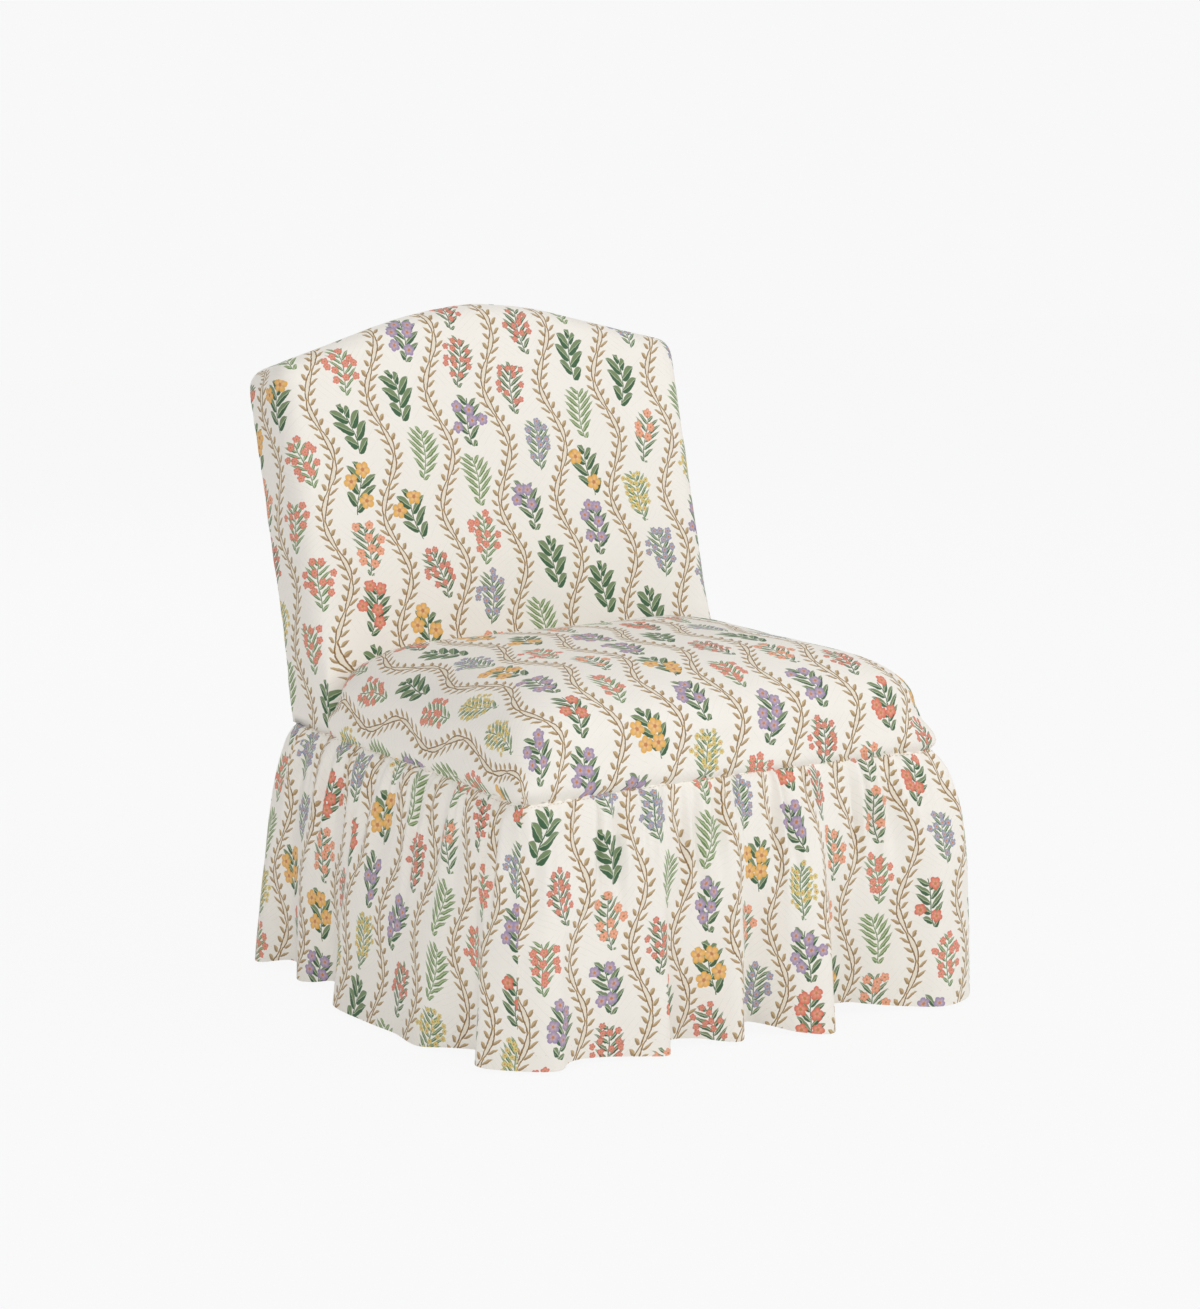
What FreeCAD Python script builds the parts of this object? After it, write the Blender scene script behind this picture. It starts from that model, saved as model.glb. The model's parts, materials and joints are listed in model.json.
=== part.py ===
import FreeCAD, Part
import math
import os
import Sketcher
from FreeCAD import Placement, Rotation, Vector

# Slipper chair: a hardwood frame, a crowned seat, a reclined back with an arched crest and a gathered
# skirt to the floor. Millimetres, +X to the right of someone facing the chair, +Y to its rear, +Z up.
# The origin is on the floor, under the middle of the whole chair.

SIZES = {
    # whole chair
    "overall_width": 680,
    "overall_depth": 764,
    "seam_height": 324,
    "recline": 15.5,
    # layers of cloth and wadding
    "cover_thickness": 1.5,
    "wadding_thickness": 8,
    "fabric_gap": 0.3,
    # skirt
    "skirt_thickness": 3,
    "hem_height": 7,
    "fold_depth": 14,
    "gather_depth": 2,
    "front_flare": 42,
    "side_flare": 25,
    "rear_flare": 44,
    "seam_corner": 31,
    "seam_corner_rear": 12,
    "hem_corner": 62,
    "strip_thickness": 1.5,
    "strip_width": 12,
    # seat upholstery
    "seat_wall": 41,
    "crown_rise": 83,
    "crown_centre": 253,
    "crown_rear": 233,
    "seat_corner": 58,
    "seat_corner_low": 22,
    "seat_corner_rear": 24,
    "seat_run_back": 30,
    "seat_bulge": 5,
    "cover_turn": 24,
    # seat frame
    "rail_above_seam": 6,
    "rail_height": 100,
    "rail_thickness": 25,
    "frame_corner": 24,
    "block_side": 92,
    "block_height": 60,
    "brace_width": 22,
    "brace_height": 50,
    "brace_drop": 12,
    # legs and glides
    "leg_top": 52,
    "leg_foot": 36,
    "leg_set_in": 11,
    "rear_foot": 34,
    "rear_rake": 14,
    "glide_radius": 13,
    "glide_height": 6,
    "bolt_radius": 4,
    "bolt_depth": 50,
    "nut_radius": 7.5,
    "nut_height": 6.5,
    # back
    "back_side_padding": 12.4,
    "back_thickness": 101,
    "back_height": 548,
    "crest_radius": 474,
    "crest_slope": 14.9,
    "shoulder_radius": 30,
    "seat_tuck": 0.6,
    "back_edge": 28,
    "board_thickness": 2,
    # back frame
    "post_thickness": 30,
    "post_depth": 46,
    "post_length": 462,
    "crest_rail_depth": 70,
    "crest_rail_rise": 18,
    "crest_rail_thickness": 26,
    "lower_rail_height": 50,
    "lower_rail_rise": 62,
    "slat_width": 60,
    "slat_thickness": 18,
    # springing
    "strap_width": 50,
    "strap_thickness": 1.5,
    "deck_thickness": 1,
    "deck_inset": 9,
    "strap_inset": 5,
    "seat_strap_pitch": 95,
    "cross_strap_share": 0.187,
    "back_strap_pitch": 105,
    "dust_cover_thickness": 0.8,
    # joinery
    "tenon_length": 16,
    "tenon_thickness": 10,
    "tenon_width": 62,
    "back_tenon_width": 38,
    "tenon_fit": 0.2,
    "bore_clearance": 0.2,
}

doc = FreeCAD.newDocument("slipper_chair")
sheet = doc.addObject("Spreadsheet::Sheet", "sizes")
for row, (alias, size) in enumerate(SIZES.items(), start=1):
    sheet.set(f"A{row}", alias)
    sheet.set(f"B{row}", str(size))
    sheet.setAlias(f"B{row}", alias)
doc.recompute()


def number(formula):
    """The value of a formula in the sheet's sizes."""
    value = sheet.evalExpression(formula)
    return float(getattr(value, "Value", value))


# Places that many pieces share, as formulas in the sheet's sizes
SIN = "sin(sizes.recline)"
COS = "cos(sizes.recline)"
GAP = "sizes.fabric_gap"
SEAM_X = "(sizes.overall_width / 2 - sizes.fold_depth - sizes.side_flare)"
SEAM_FRONT = "(-sizes.overall_depth / 2 + sizes.fold_depth + sizes.front_flare)"
LAYERS = (
    "(sizes.gather_depth + sizes.skirt_thickness + 3 * sizes.fabric_gap"
    " + sizes.strip_thickness + sizes.cover_thickness)"
)
RAIL_X = f"({SEAM_X} - {LAYERS})"
RAIL_INNER_X = f"({RAIL_X} - sizes.rail_thickness)"
RAIL_FRONT = f"({SEAM_FRONT} + {LAYERS})"
RAIL_FRONT_INNER = f"({RAIL_FRONT} + sizes.rail_thickness)"
RAIL_TOP = "(sizes.seam_height + sizes.rail_above_seam)"
RAIL_BOTTOM = f"({RAIL_TOP} - sizes.rail_height)"
BACK_Y = (
    f"(sizes.overall_depth / 2 - {COS} * sizes.back_thickness"
    f" - {SIN} * (sizes.back_height - sizes.cover_thickness * 2))"
)
POST_REAR = f"(sizes.back_thickness - sizes.cover_thickness - sizes.board_thickness - 2 * {GAP})"
POST_FRONT = f"({POST_REAR} - sizes.post_depth)"
POST_INNER_X = f"({RAIL_X} - sizes.post_thickness)"
RAIL_REAR = f"({BACK_Y} + {POST_REAR} / {COS})"
RAIL_REAR_INNER = f"({RAIL_REAR} - sizes.rail_thickness)"
POST_FOOT_FRONT = f"({BACK_Y} + {POST_FRONT} / {COS})"
SEAM_REAR = f"({RAIL_REAR} + {LAYERS} - sizes.cover_thickness - {GAP})"
LEG_LENGTH = f"({RAIL_BOTTOM} - sizes.glide_height)"
LEG_X = f"({RAIL_X} - sizes.leg_set_in - sizes.leg_top / 2)"
LEG_Y = f"({RAIL_FRONT} + sizes.leg_set_in + sizes.leg_top / 2)"
STRAP_TOP = f"({RAIL_TOP} + 2 * sizes.strap_thickness)"
DECK_TOP = f"({STRAP_TOP} + sizes.deck_thickness)"


def place(piece, x="0", y="0", z="0", turn=None):
    """Puts a piece at a point given by three formulas, turned about one axis by a fixed rotation."""
    piece.Placement = Placement(Vector(), turn or Rotation())
    for axis, formula in zip("xyz", (x, y, z)):
        piece.setExpression(f".Placement.Base.{axis}", formula)
    return piece


def lean(piece, x="0", depth="0", rise="0"):
    """Puts a piece in the reclined back: depth behind its front face, rise along its slope."""
    piece.Placement = Placement(Vector(), Rotation(Vector(-1, 0, 0), number("sizes.recline")))
    piece.setExpression(".Placement.Rotation.Angle", "sizes.recline")
    piece.setExpression(".Placement.Base.x", x)
    piece.setExpression(".Placement.Base.y", f"{BACK_Y} + {COS} * ({depth}) + {SIN} * ({rise})")
    piece.setExpression(".Placement.Base.z", f"sizes.seam_height - {SIN} * ({depth}) + {COS} * ({rise})")
    return piece


def box(name, width, depth, height):
    """A board or strap with its three sides bound to the sheet."""
    piece = doc.addObject("Part::Box", name)
    piece.setExpression("Length", width)
    piece.setExpression("Width", depth)
    piece.setExpression("Height", height)
    return piece


def cylinder(name, radius, height):
    """A round piece with its radius and height bound to the sheet."""
    piece = doc.addObject("Part::Cylinder", name)
    piece.setExpression("Radius", radius)
    piece.setExpression("Height", height)
    return piece


def group(name, pieces):
    """Several separate pieces kept under one name."""
    joined = doc.addObject("Part::Compound", name)
    joined.Links = pieces
    return joined


def cut(name, base, tools):
    """A piece with its bores or trimmed end taken out."""
    tool = tools[0] if len(tools) == 1 else group(f"{name}_bores", tools)
    result = doc.addObject("Part::Cut", name)
    result.Base = base
    result.Tool = tool
    return result


def origin_plane(body, role):
    """One of a body's own three planes."""
    return next(feature for feature in body.Origin.OriginFeatures if feature.Role == role)


def profile(body, role, corners, arcs=None):
    """A closed outline on a body's plane.

    Each corner is a pair of formulas. arcs maps the number of a side to its radius formula and to a
    point that the arc passes near, also a pair of formulas; every other side is straight.
    """
    arcs = arcs or {}
    sketch = body.newObject("Sketcher::SketchObject", f"{body.Name}_outline")
    sketch.AttachmentSupport = (origin_plane(body, role), [""])
    sketch.MapMode = "FlatFace"
    points = [Vector(number(x), number(y), 0) for x, y in corners]
    for side, start in enumerate(points):
        end = points[(side + 1) % len(points)]
        if side in arcs:
            middle = Vector(*(number(formula) for formula in arcs[side][1]), 0)
            sketch.addGeometry(Part.Arc(start, middle, end))
        else:
            sketch.addGeometry(Part.LineSegment(start, end))
    ends = []
    for side, start in enumerate(points):
        first_is_start = sketch.getPoint(side, 1).distanceToPoint(start) < 1e-6
        ends.append((1, 2) if first_is_start else (2, 1))
    for side, (first, last) in enumerate(ends):
        following = (side + 1) % len(points)
        sketch.addConstraint(Sketcher.Constraint("Coincident", side, last, following, ends[following][0]))
    for side, (x, y) in enumerate(corners):
        for kind, formula, value in (("DistanceX", x, points[side].x), ("DistanceY", y, points[side].y)):
            if formula == "0":
                axis = -2 if kind == "DistanceX" else -1
                sketch.addConstraint(Sketcher.Constraint("PointOnObject", side, ends[side][0], axis))
                continue
            index = sketch.addConstraint(Sketcher.Constraint(kind, -1, 1, side, ends[side][0], value))
            sketch.setExpression(f"Constraints[{index}]", formula)
    for side, (radius, _) in arcs.items():
        index = sketch.addConstraint(Sketcher.Constraint("Radius", side, number(radius)))
        sketch.setExpression(f"Constraints[{index}]", radius)
    return sketch


def board(name, role, corners, thickness, arcs=None):
    """A board sawn to an outline, its thickness shared equally to both sides of the plane."""
    body = doc.addObject("PartDesign::Body", name)
    outline = profile(body, role, corners, arcs)
    pad = body.newObject("PartDesign::Pad", f"{name}_pad")
    pad.Profile = outline
    pad.setExpression("Length", thickness)
    pad.Midplane = True
    outline.Visibility = False
    return body


nodes = []


def node(piece, label):
    """Names a finished piece; its file takes the same name."""
    piece.Label = label
    nodes.append(piece)
    return piece


def fuse(name, pieces):
    """Several forms that are one solid piece."""
    result = doc.addObject("Part::MultiFuse", name)
    result.Shapes = pieces
    return result


mortises = {}


def tenon(rail, post, x, y, z, size, put=place):
    """The tenon on one end of a rail, and the mortise for it in the board that it enters.

    x, y and z are the tenon's low corner and size its three sides, all formulas.
    """
    fit = "sizes.tenon_fit"
    count = len(mortises.get(post, []))
    tongue = put(box(f"{rail}_{post}_tenon_{count}", *size), x, y, z)
    hole = box(f"{rail}_{post}_mortise_{count}", *(f"{side} + 2 * {fit}" for side in size))
    put(hole, f"{x} - {fit}", f"{y} - {fit}", f"{z} - {fit}")
    mortises.setdefault(post, []).append(hole)
    return tongue


ACROSS_SIZE = ("sizes.tenon_length", "sizes.tenon_thickness", "sizes.tenon_width")
ALONG_SIZE = ("sizes.tenon_thickness", "sizes.tenon_length", "sizes.tenon_width")
TENON_BASE = f"({RAIL_BOTTOM} + (sizes.rail_height - sizes.tenon_width) / 2)"


def tenon_pair(rail, board_name, inner_x, y, z, size=ACROSS_SIZE, put=place):
    """The tenons on both ends of a rail that runs from side to side."""
    return [
        tenon(rail, f"left_{board_name}", f"-{inner_x} - sizes.tenon_length", y, z, size, put),
        tenon(rail, f"right_{board_name}", inner_x, y, z, size, put),
    ]


def mortised(base, label):
    """A board with the mortises that its neighbours' tenons need."""
    return node(cut(f"{label}_mortised", base, mortises[label]), label)


# Seat rails: the front rail enters the side rails, the rear rail and the side rails enter the posts
front_rail = box("front_rail_board", f"2 * {RAIL_INNER_X}", "sizes.rail_thickness", "sizes.rail_height")
place(front_rail, f"-{RAIL_INNER_X}", RAIL_FRONT, RAIL_BOTTOM)
inset_y = "(sizes.rail_thickness - sizes.tenon_thickness) / 2"
tongues = tenon_pair("front_rail", "seat_rail", RAIL_INNER_X, f"{RAIL_FRONT} + {inset_y}", TENON_BASE)
node(fuse("front_rail_with_tenons", [front_rail, *tongues]), "front_seat_rail")
rear_rail = box("rear_rail_board", f"2 * {POST_INNER_X}", "sizes.rail_thickness", "sizes.rail_height")
place(rear_rail, f"-{POST_INNER_X}", RAIL_REAR_INNER, RAIL_BOTTOM)
tongues = tenon_pair("rear_rail", "back_post", POST_INNER_X, f"{RAIL_REAR_INNER} + {inset_y}", TENON_BASE)
node(fuse("rear_rail_with_tenons", [rear_rail, *tongues]), "rear_seat_rail")
for side, sign in (("left", "-1"), ("right", "1")):
    turn = "sizes.frame_corner"
    near = f"{turn} * (1 - cos(45))"
    outer, inner = f"{sign} * {RAIL_X}", f"{sign} * {RAIL_INNER_X}"
    rail = board(
        f"{side}_rail_board", "XY_Plane",
        [
            (outer, f"{RAIL_FRONT} + {turn}"),
            (f"{sign} * ({RAIL_X} - {turn})", RAIL_FRONT),
            (inner, RAIL_FRONT),
            (inner, POST_FOOT_FRONT),
            (outer, POST_FOOT_FRONT),
        ],
        "sizes.rail_height",
        {0: (turn, (f"{sign} * ({RAIL_X} - {near})", f"{RAIL_FRONT} + {near}"))},
    )
    place(rail, z=f"{RAIL_BOTTOM} + sizes.rail_height / 2")
    tongue_x = f"{sign} * ({RAIL_X} + {RAIL_INNER_X}) / 2 - sizes.tenon_thickness / 2"
    tongue = tenon(f"{side}_rail", f"{side}_back_post", tongue_x, POST_FOOT_FRONT, TENON_BASE, ALONG_SIZE)
    mortised(fuse(f"{side}_rail_with_tenon", [rail, tongue]), f"{side}_seat_rail")

# Centre brace from the front rail to the rear rail
brace = box(
    "brace_board", "sizes.brace_width", f"{RAIL_REAR_INNER} - {RAIL_FRONT_INNER}", "sizes.brace_height",
)
place(brace, "-sizes.brace_width / 2", RAIL_FRONT_INNER, f"{RAIL_BOTTOM} + sizes.brace_drop")
node(brace, "seat_centre_brace")

# Corner blocks: triangles glued in the four corners, the front pair bored for the leg bolts
for side, sign in (("left", -1), ("right", 1)):
    for end, inner_x, inner_y, inward in (
        ("front", RAIL_INNER_X, RAIL_FRONT_INNER, "1"),
        ("rear", POST_INNER_X, RAIL_REAR_INNER, "-1"),
    ):
        label = f"{end}_{side}_corner_block"
        block = board(
            f"{label}_board", "XY_Plane",
            [
                (f"{sign} * {inner_x}", inner_y),
                (f"{sign} * ({inner_x} - sizes.block_side)", inner_y),
                (f"{sign} * {inner_x}", f"{inner_y} + {inward} * sizes.block_side"),
            ],
            "sizes.block_height",
        )
        place(block, z=f"{RAIL_BOTTOM} + sizes.block_height / 2")
        if end == "front":
            bore = cylinder(
                f"{label}_bolt_bore", "sizes.bolt_radius + sizes.bore_clearance", "sizes.block_height * 2",
            )
            place(bore, f"{sign} * {LEG_X}", LEG_Y, f"{RAIL_BOTTOM} - sizes.block_height / 2")
            block = cut(f"{label}_bored", block, [bore])
        node(block, label)

# Front legs: square, tapered to the foot, each with a blind bore for its bolt
for side, sign in (("left", -1), ("right", 1)):
    label = f"front_{side}_leg"
    leg = doc.addObject("Part::Wedge", f"{label}_taper")
    for width, ends in (
        ("leg_foot", ("Xmin", "Xmax", "Zmin", "Zmax")),
        ("leg_top", ("X2min", "X2max", "Z2min", "Z2max")),
    ):
        for end, half in zip(ends, ("-0.5", "0.5") * 2):
            leg.setExpression(end, f"{half} * sizes.{width}")
    leg.Ymin = 0
    leg.setExpression("Ymax", LEG_LENGTH)
    upright = Rotation(Vector(1, 0, 0), 90)
    place(leg, f"{sign} * {LEG_X}", LEG_Y, "sizes.glide_height", upright)
    bore = cylinder(f"{label}_bolt_bore", "sizes.bolt_radius + sizes.bore_clearance", "sizes.bolt_depth * 2")
    place(bore, f"{sign} * {LEG_X}", LEG_Y, f"{RAIL_BOTTOM} - sizes.bolt_depth")
    node(cut(f"{label}_bored", leg, [bore]), label)

# Leg bolts: a stud up through the corner block, with a nut on top of the block
BLOCK_TOP = f"({RAIL_BOTTOM} + sizes.block_height)"
studs, nuts = [], []
for side, sign in (("left", -1), ("right", 1)):
    at = (f"{sign} * {LEG_X}", LEG_Y)
    grip = "sizes.block_height + sizes.bolt_depth + sizes.nut_height"
    stud = cylinder(f"{side}_stud", "sizes.bolt_radius", f"{grip} + sizes.bolt_radius / 2")
    studs.append(place(stud, *at, f"{RAIL_BOTTOM} - sizes.bolt_depth"))
    nut = doc.addObject("Part::Prism", f"{side}_nut_blank")
    nut.Polygon = 6
    nut.setExpression("Circumradius", "sizes.nut_radius")
    nut.setExpression("Height", "sizes.nut_height")
    place(nut, *at, BLOCK_TOP)
    thread = cylinder(f"{side}_nut_hole", "sizes.bolt_radius + sizes.bore_clearance", "sizes.nut_height * 3")
    place(thread, *at, f"{BLOCK_TOP} - sizes.nut_height")
    nuts.append(cut(f"{side}_nut", nut, [thread]))
node(group("stud_pair", studs), "leg_bolts")
node(group("nut_pair", nuts), "leg_bolt_nuts")

# Back frame between the posts: arched crest rail, lower rail and an upright slat between them
CREST_RAIL_BASE = "(sizes.post_length + sizes.crest_rail_rise - sizes.crest_rail_depth)"
BACK_RAIL_DEPTH = f"({POST_FRONT} + sizes.crest_rail_thickness / 2)"
CREST_INSET = f"(sizes.cover_thickness + sizes.wadding_thickness + 3 * {GAP})"
CREST_Z = "(sizes.back_height - sizes.crest_radius)"
ARC_X = f"((sizes.crest_radius - {CREST_INSET}) * sin(sizes.crest_slope))"
ARC_Z = f"({CREST_Z} + (sizes.crest_radius - {CREST_INSET}) * cos(sizes.crest_slope))"
CREST_END_Z = f"({ARC_Z} - tan(sizes.crest_slope) * ({POST_INNER_X} - {ARC_X}))"
crest = board(
    "crest_rail_board", "XZ_Plane",
    [
        (f"-{POST_INNER_X}", CREST_RAIL_BASE),
        (POST_INNER_X, CREST_RAIL_BASE),
        (POST_INNER_X, CREST_END_Z),
        (ARC_X, ARC_Z),
        (f"-{ARC_X}", ARC_Z),
        (f"-{POST_INNER_X}", CREST_END_Z),
    ],
    "sizes.crest_rail_thickness",
    {3: (f"sizes.crest_radius - {CREST_INSET}", ("0", f"sizes.back_height - {CREST_INSET}"))},
)
lean(crest, depth=BACK_RAIL_DEPTH)
tenon_depth = f"{BACK_RAIL_DEPTH} - sizes.tenon_thickness / 2"
back_tenon = ("sizes.tenon_length", "sizes.tenon_thickness", "sizes.back_tenon_width")
tongues = tenon_pair(
    "crest", "back_post", POST_INNER_X, tenon_depth, f"{CREST_RAIL_BASE} + 6", back_tenon, lean,
)
node(fuse("crest_rail_with_tenons", [crest, *tongues]), "crest_rail")
lower = box(
    "lower_rail_board", f"2 * {POST_INNER_X}", "sizes.crest_rail_thickness", "sizes.lower_rail_height",
)
lean(lower, f"-{POST_INNER_X}", POST_FRONT, "sizes.lower_rail_rise")
tongues = tenon_pair(
    "lower", "back_post", POST_INNER_X, tenon_depth,
    "sizes.lower_rail_rise + (sizes.lower_rail_height - sizes.back_tenon_width) / 2", back_tenon, lean,
)
node(fuse("lower_rail_with_tenons", [lower, *tongues]), "lower_back_rail")
SLAT_BASE = "(sizes.lower_rail_rise + sizes.lower_rail_height)"
slat = box("slat_board", "sizes.slat_width", "sizes.slat_thickness", f"{CREST_RAIL_BASE} - {SLAT_BASE}")
slat_depth = f"{BACK_RAIL_DEPTH} - sizes.slat_thickness / 2"
node(lean(slat, "-sizes.slat_width / 2", slat_depth, SLAT_BASE), "back_centre_slat")

# Back posts: one board each from the rear foot to the shoulder, kinked at the seam height
for side, sign in (("left", "-1"), ("right", "1")):
    label = f"{side}_back_post"
    top = "sizes.post_length"
    post = board(
        f"{label}_board", "YZ_Plane",
        [
            (f"{RAIL_REAR} + sizes.rear_rake - sizes.rear_foot", "sizes.glide_height"),
            (f"{RAIL_REAR} + sizes.rear_rake", "sizes.glide_height"),
            (RAIL_REAR, RAIL_BOTTOM),
            (RAIL_REAR, "sizes.seam_height"),
            (
                f"{BACK_Y} + {COS} * {POST_REAR} + {SIN} * {top}",
                f"sizes.seam_height - {SIN} * {POST_REAR} + {COS} * {top}",
            ),
            (
                f"{BACK_Y} + {COS} * {POST_FRONT} + {SIN} * {top}",
                f"sizes.seam_height - {SIN} * {POST_FRONT} + {COS} * {top}",
            ),
            (POST_FOOT_FRONT, "sizes.seam_height"),
            (POST_FOOT_FRONT, RAIL_BOTTOM),
        ],
        "sizes.post_thickness",
    )
    place(post, f"{sign} * ({RAIL_X} - sizes.post_thickness / 2)")
    mortised(post, label)

# Glides under the four feet
GLIDE_PLACES = {
    "front": (LEG_X, LEG_Y),
    "rear": (
        f"({RAIL_X} - sizes.post_thickness / 2)", f"({RAIL_REAR} + sizes.rear_rake - sizes.rear_foot / 2)",
    ),
}
for end, (x, y) in GLIDE_PLACES.items():
    for side, sign in (("left", "-1"), ("right", "1")):
        glide = cylinder(f"{end}_{side}_glide_disc", "sizes.glide_radius", "sizes.glide_height")
        node(place(glide, f"{sign} * {x}", y), f"{end}_{side}_glide")


def strap_row(count, pitch):
    """Middles of an odd number of straps, evenly spaced about zero, as formulas."""
    return [f"({step} * sizes.{pitch})" for step in range(-(count // 2), count // 2 + 1)]


# Webbing of the seat: straps front to back on the rails, and side to side on top of them
seat_middle = f"(({RAIL_FRONT} + {POST_FOOT_FRONT}) / 2)"
cross_pitch = f"(({POST_FOOT_FRONT} - {RAIL_FRONT}) * sizes.cross_strap_share)"
CROSS_LENGTH = f"2 * ({RAIL_X} - sizes.strap_inset)"
CROSS_X = f"-{RAIL_X} + sizes.strap_inset"
lengthways, crossways = [], []
for index, middle in enumerate(strap_row(5, "seat_strap_pitch")):
    strap = box(
        f"seat_strap_long_{index}", "sizes.strap_width",
        f"{RAIL_REAR} - {RAIL_FRONT} - 2 * sizes.strap_inset", "sizes.strap_thickness",
    )
    long_y = f"{RAIL_FRONT} + sizes.strap_inset"
    lengthways.append(place(strap, f"{middle} - sizes.strap_width / 2", long_y, RAIL_TOP))
    strap = box(f"seat_strap_cross_{index}", CROSS_LENGTH, "sizes.strap_width", "sizes.strap_thickness")
    across_y = f"{seat_middle} + ({index} - 2) * {cross_pitch} - sizes.strap_width / 2"
    place(strap, CROSS_X, across_y, f"{RAIL_TOP} + sizes.strap_thickness")
    crossways.append(strap)
node(group("seat_straps_long", lengthways), "seat_webbing_front_to_back")
node(group("seat_straps_cross", crossways), "seat_webbing_side_to_side")
deck_edge = "2 * sizes.deck_inset"
deck = box(
    "deck_sheet", f"2 * {RAIL_X} - {deck_edge}", f"{POST_FOOT_FRONT} - {RAIL_FRONT} - {deck_edge}",
    "sizes.deck_thickness",
)
place(deck, f"-{RAIL_X} + sizes.deck_inset", f"{RAIL_FRONT} + sizes.deck_inset", STRAP_TOP)
node(deck, "seat_deck_cloth")

# Webbing of the back: upright straps on the two rails, and side to side in front of them
uprights, laterals = [], []
UPRIGHT_BASE = "(sizes.lower_rail_rise + 6)"
for index, middle in enumerate(strap_row(5, "back_strap_pitch")):
    strap = box(
        f"back_strap_up_{index}", "sizes.strap_width", "sizes.strap_thickness",
        f"{CREST_RAIL_BASE} + sizes.crest_rail_depth / 2 - {UPRIGHT_BASE}",
    )
    lean(strap, f"{middle} - sizes.strap_width / 2", f"{POST_FRONT} - sizes.strap_thickness", UPRIGHT_BASE)
    uprights.append(strap)
for index, middle in enumerate(strap_row(3, "back_strap_pitch")):
    strap = box(f"back_strap_cross_{index}", CROSS_LENGTH, "sizes.strap_thickness", "sizes.strap_width")
    rise = f"sizes.post_length / 2 + 22 + {middle} - sizes.strap_width / 2"
    laterals.append(lean(strap, CROSS_X, f"{POST_FRONT} - 2 * sizes.strap_thickness", rise))
node(group("back_straps_up", uprights), "back_webbing_upright")
node(group("back_straps_cross", laterals), "back_webbing_side_to_side")

# Dust cover under the rails, notched around the legs
notch_x = f"({LEG_X} - sizes.leg_top / 2 - 3)"
notch_front = f"({LEG_Y} + sizes.leg_top / 2 + 3)"
post_x = f"({POST_INNER_X} - 3)"
notch_rear = f"({POST_FOOT_FRONT} - 3)"
edge_x = f"({RAIL_X} - 4)"
half_outline = [
    (notch_x, f"({RAIL_FRONT} + 4)"), (notch_x, notch_front), (edge_x, notch_front),
    (edge_x, notch_rear), (post_x, notch_rear), (post_x, f"({RAIL_REAR} - 4)"),
]
mirrored = [(f"-{x}", y) for x, y in reversed(half_outline)]
dust = board("dust_sheet", "XY_Plane", half_outline + mirrored, "sizes.dust_cover_thickness")
node(place(dust, z=f"{RAIL_BOTTOM} - sizes.dust_cover_thickness / 2"), "dust_cover")

# Cardboard strips that back the skirt's gathers, one on each side of the frame
strips = []
strip_z = "sizes.seam_height - sizes.strip_width"
side_gap = f"(sizes.cover_thickness + 2 * {GAP})"
wide = box("strip_front", f"2 * {RAIL_INNER_X}", "sizes.strip_thickness", "sizes.strip_width")
strips.append(place(wide, f"-{RAIL_INNER_X}", f"{RAIL_FRONT} - {side_gap} - sizes.strip_thickness", strip_z))
wide = box("strip_rear", f"2 * {RAIL_INNER_X}", "sizes.strip_thickness", "sizes.strip_width")
strips.append(place(wide, f"-{RAIL_INNER_X}", f"{RAIL_REAR} + {GAP}", strip_z))
side_run = f"{RAIL_REAR_INNER} - {RAIL_FRONT_INNER}"
for side, x in (
    ("left", f"-{RAIL_X} - {side_gap} - sizes.strip_thickness"),
    ("right", f"{RAIL_X} + {side_gap}"),
):
    long = box(f"strip_{side}", "sizes.strip_thickness", side_run, "sizes.strip_width")
    strips.append(place(long, x, RAIL_FRONT_INNER, strip_z))
node(group("strip_set", strips), "skirt_tack_strips")


def soft(label, shape):
    """A soft piece, whose form is worked out from the sheet's sizes."""
    piece = doc.addObject("Part::Feature", f"{label}_form")
    piece.Shape = shape
    return node(piece, label)


# Sizes of the soft pieces, read from the sheet
value = {alias: number(f"sizes.{alias}") for alias in SIZES}
gap = value["fabric_gap"]
cover = value["cover_thickness"]
wadding = value["wadding_thickness"]
recline = Placement(
    Vector(0, number(BACK_Y), value["seam_height"]), Rotation(Vector(-1, 0, 0), value["recline"])
)
rail_x, rail_front = number(RAIL_X), number(RAIL_FRONT)
FAR = 2000


def seat_section(half_width, front, rear, front_radius, level):
    """A closed outline of the seat at one height, each corner turned in three equal chords."""
    corners = []
    for quarter, (x_sign, y_sign) in enumerate(((-1, -1), (1, -1), (1, 1), (-1, 1))):
        radius = front_radius if y_sign < 0 else value["seat_corner_rear"]
        pivot = Vector(
            x_sign * (half_width - radius), (front if y_sign < 0 else rear) - y_sign * radius, level,
        )
        for turn in (180, 210, 240, 270):
            angle = math.radians(turn + 90 * quarter)
            corners.append(pivot + Vector(math.cos(angle), math.sin(angle), 0) * radius)
    return Part.makePolygon([*corners, corners[0]])


def flat_face(corners):
    """A flat face with straight edges between its corners."""
    return Part.Face(Part.makePolygon([*corners, corners[0]]))


def closed(faces):
    """The solid that a set of faces closes in."""
    shell = Part.makeShell(faces)
    shell.sewShape()
    solid = Part.makeSolid(shell)
    if solid.Volume < 0:
        solid.reverse()
    return solid


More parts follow.
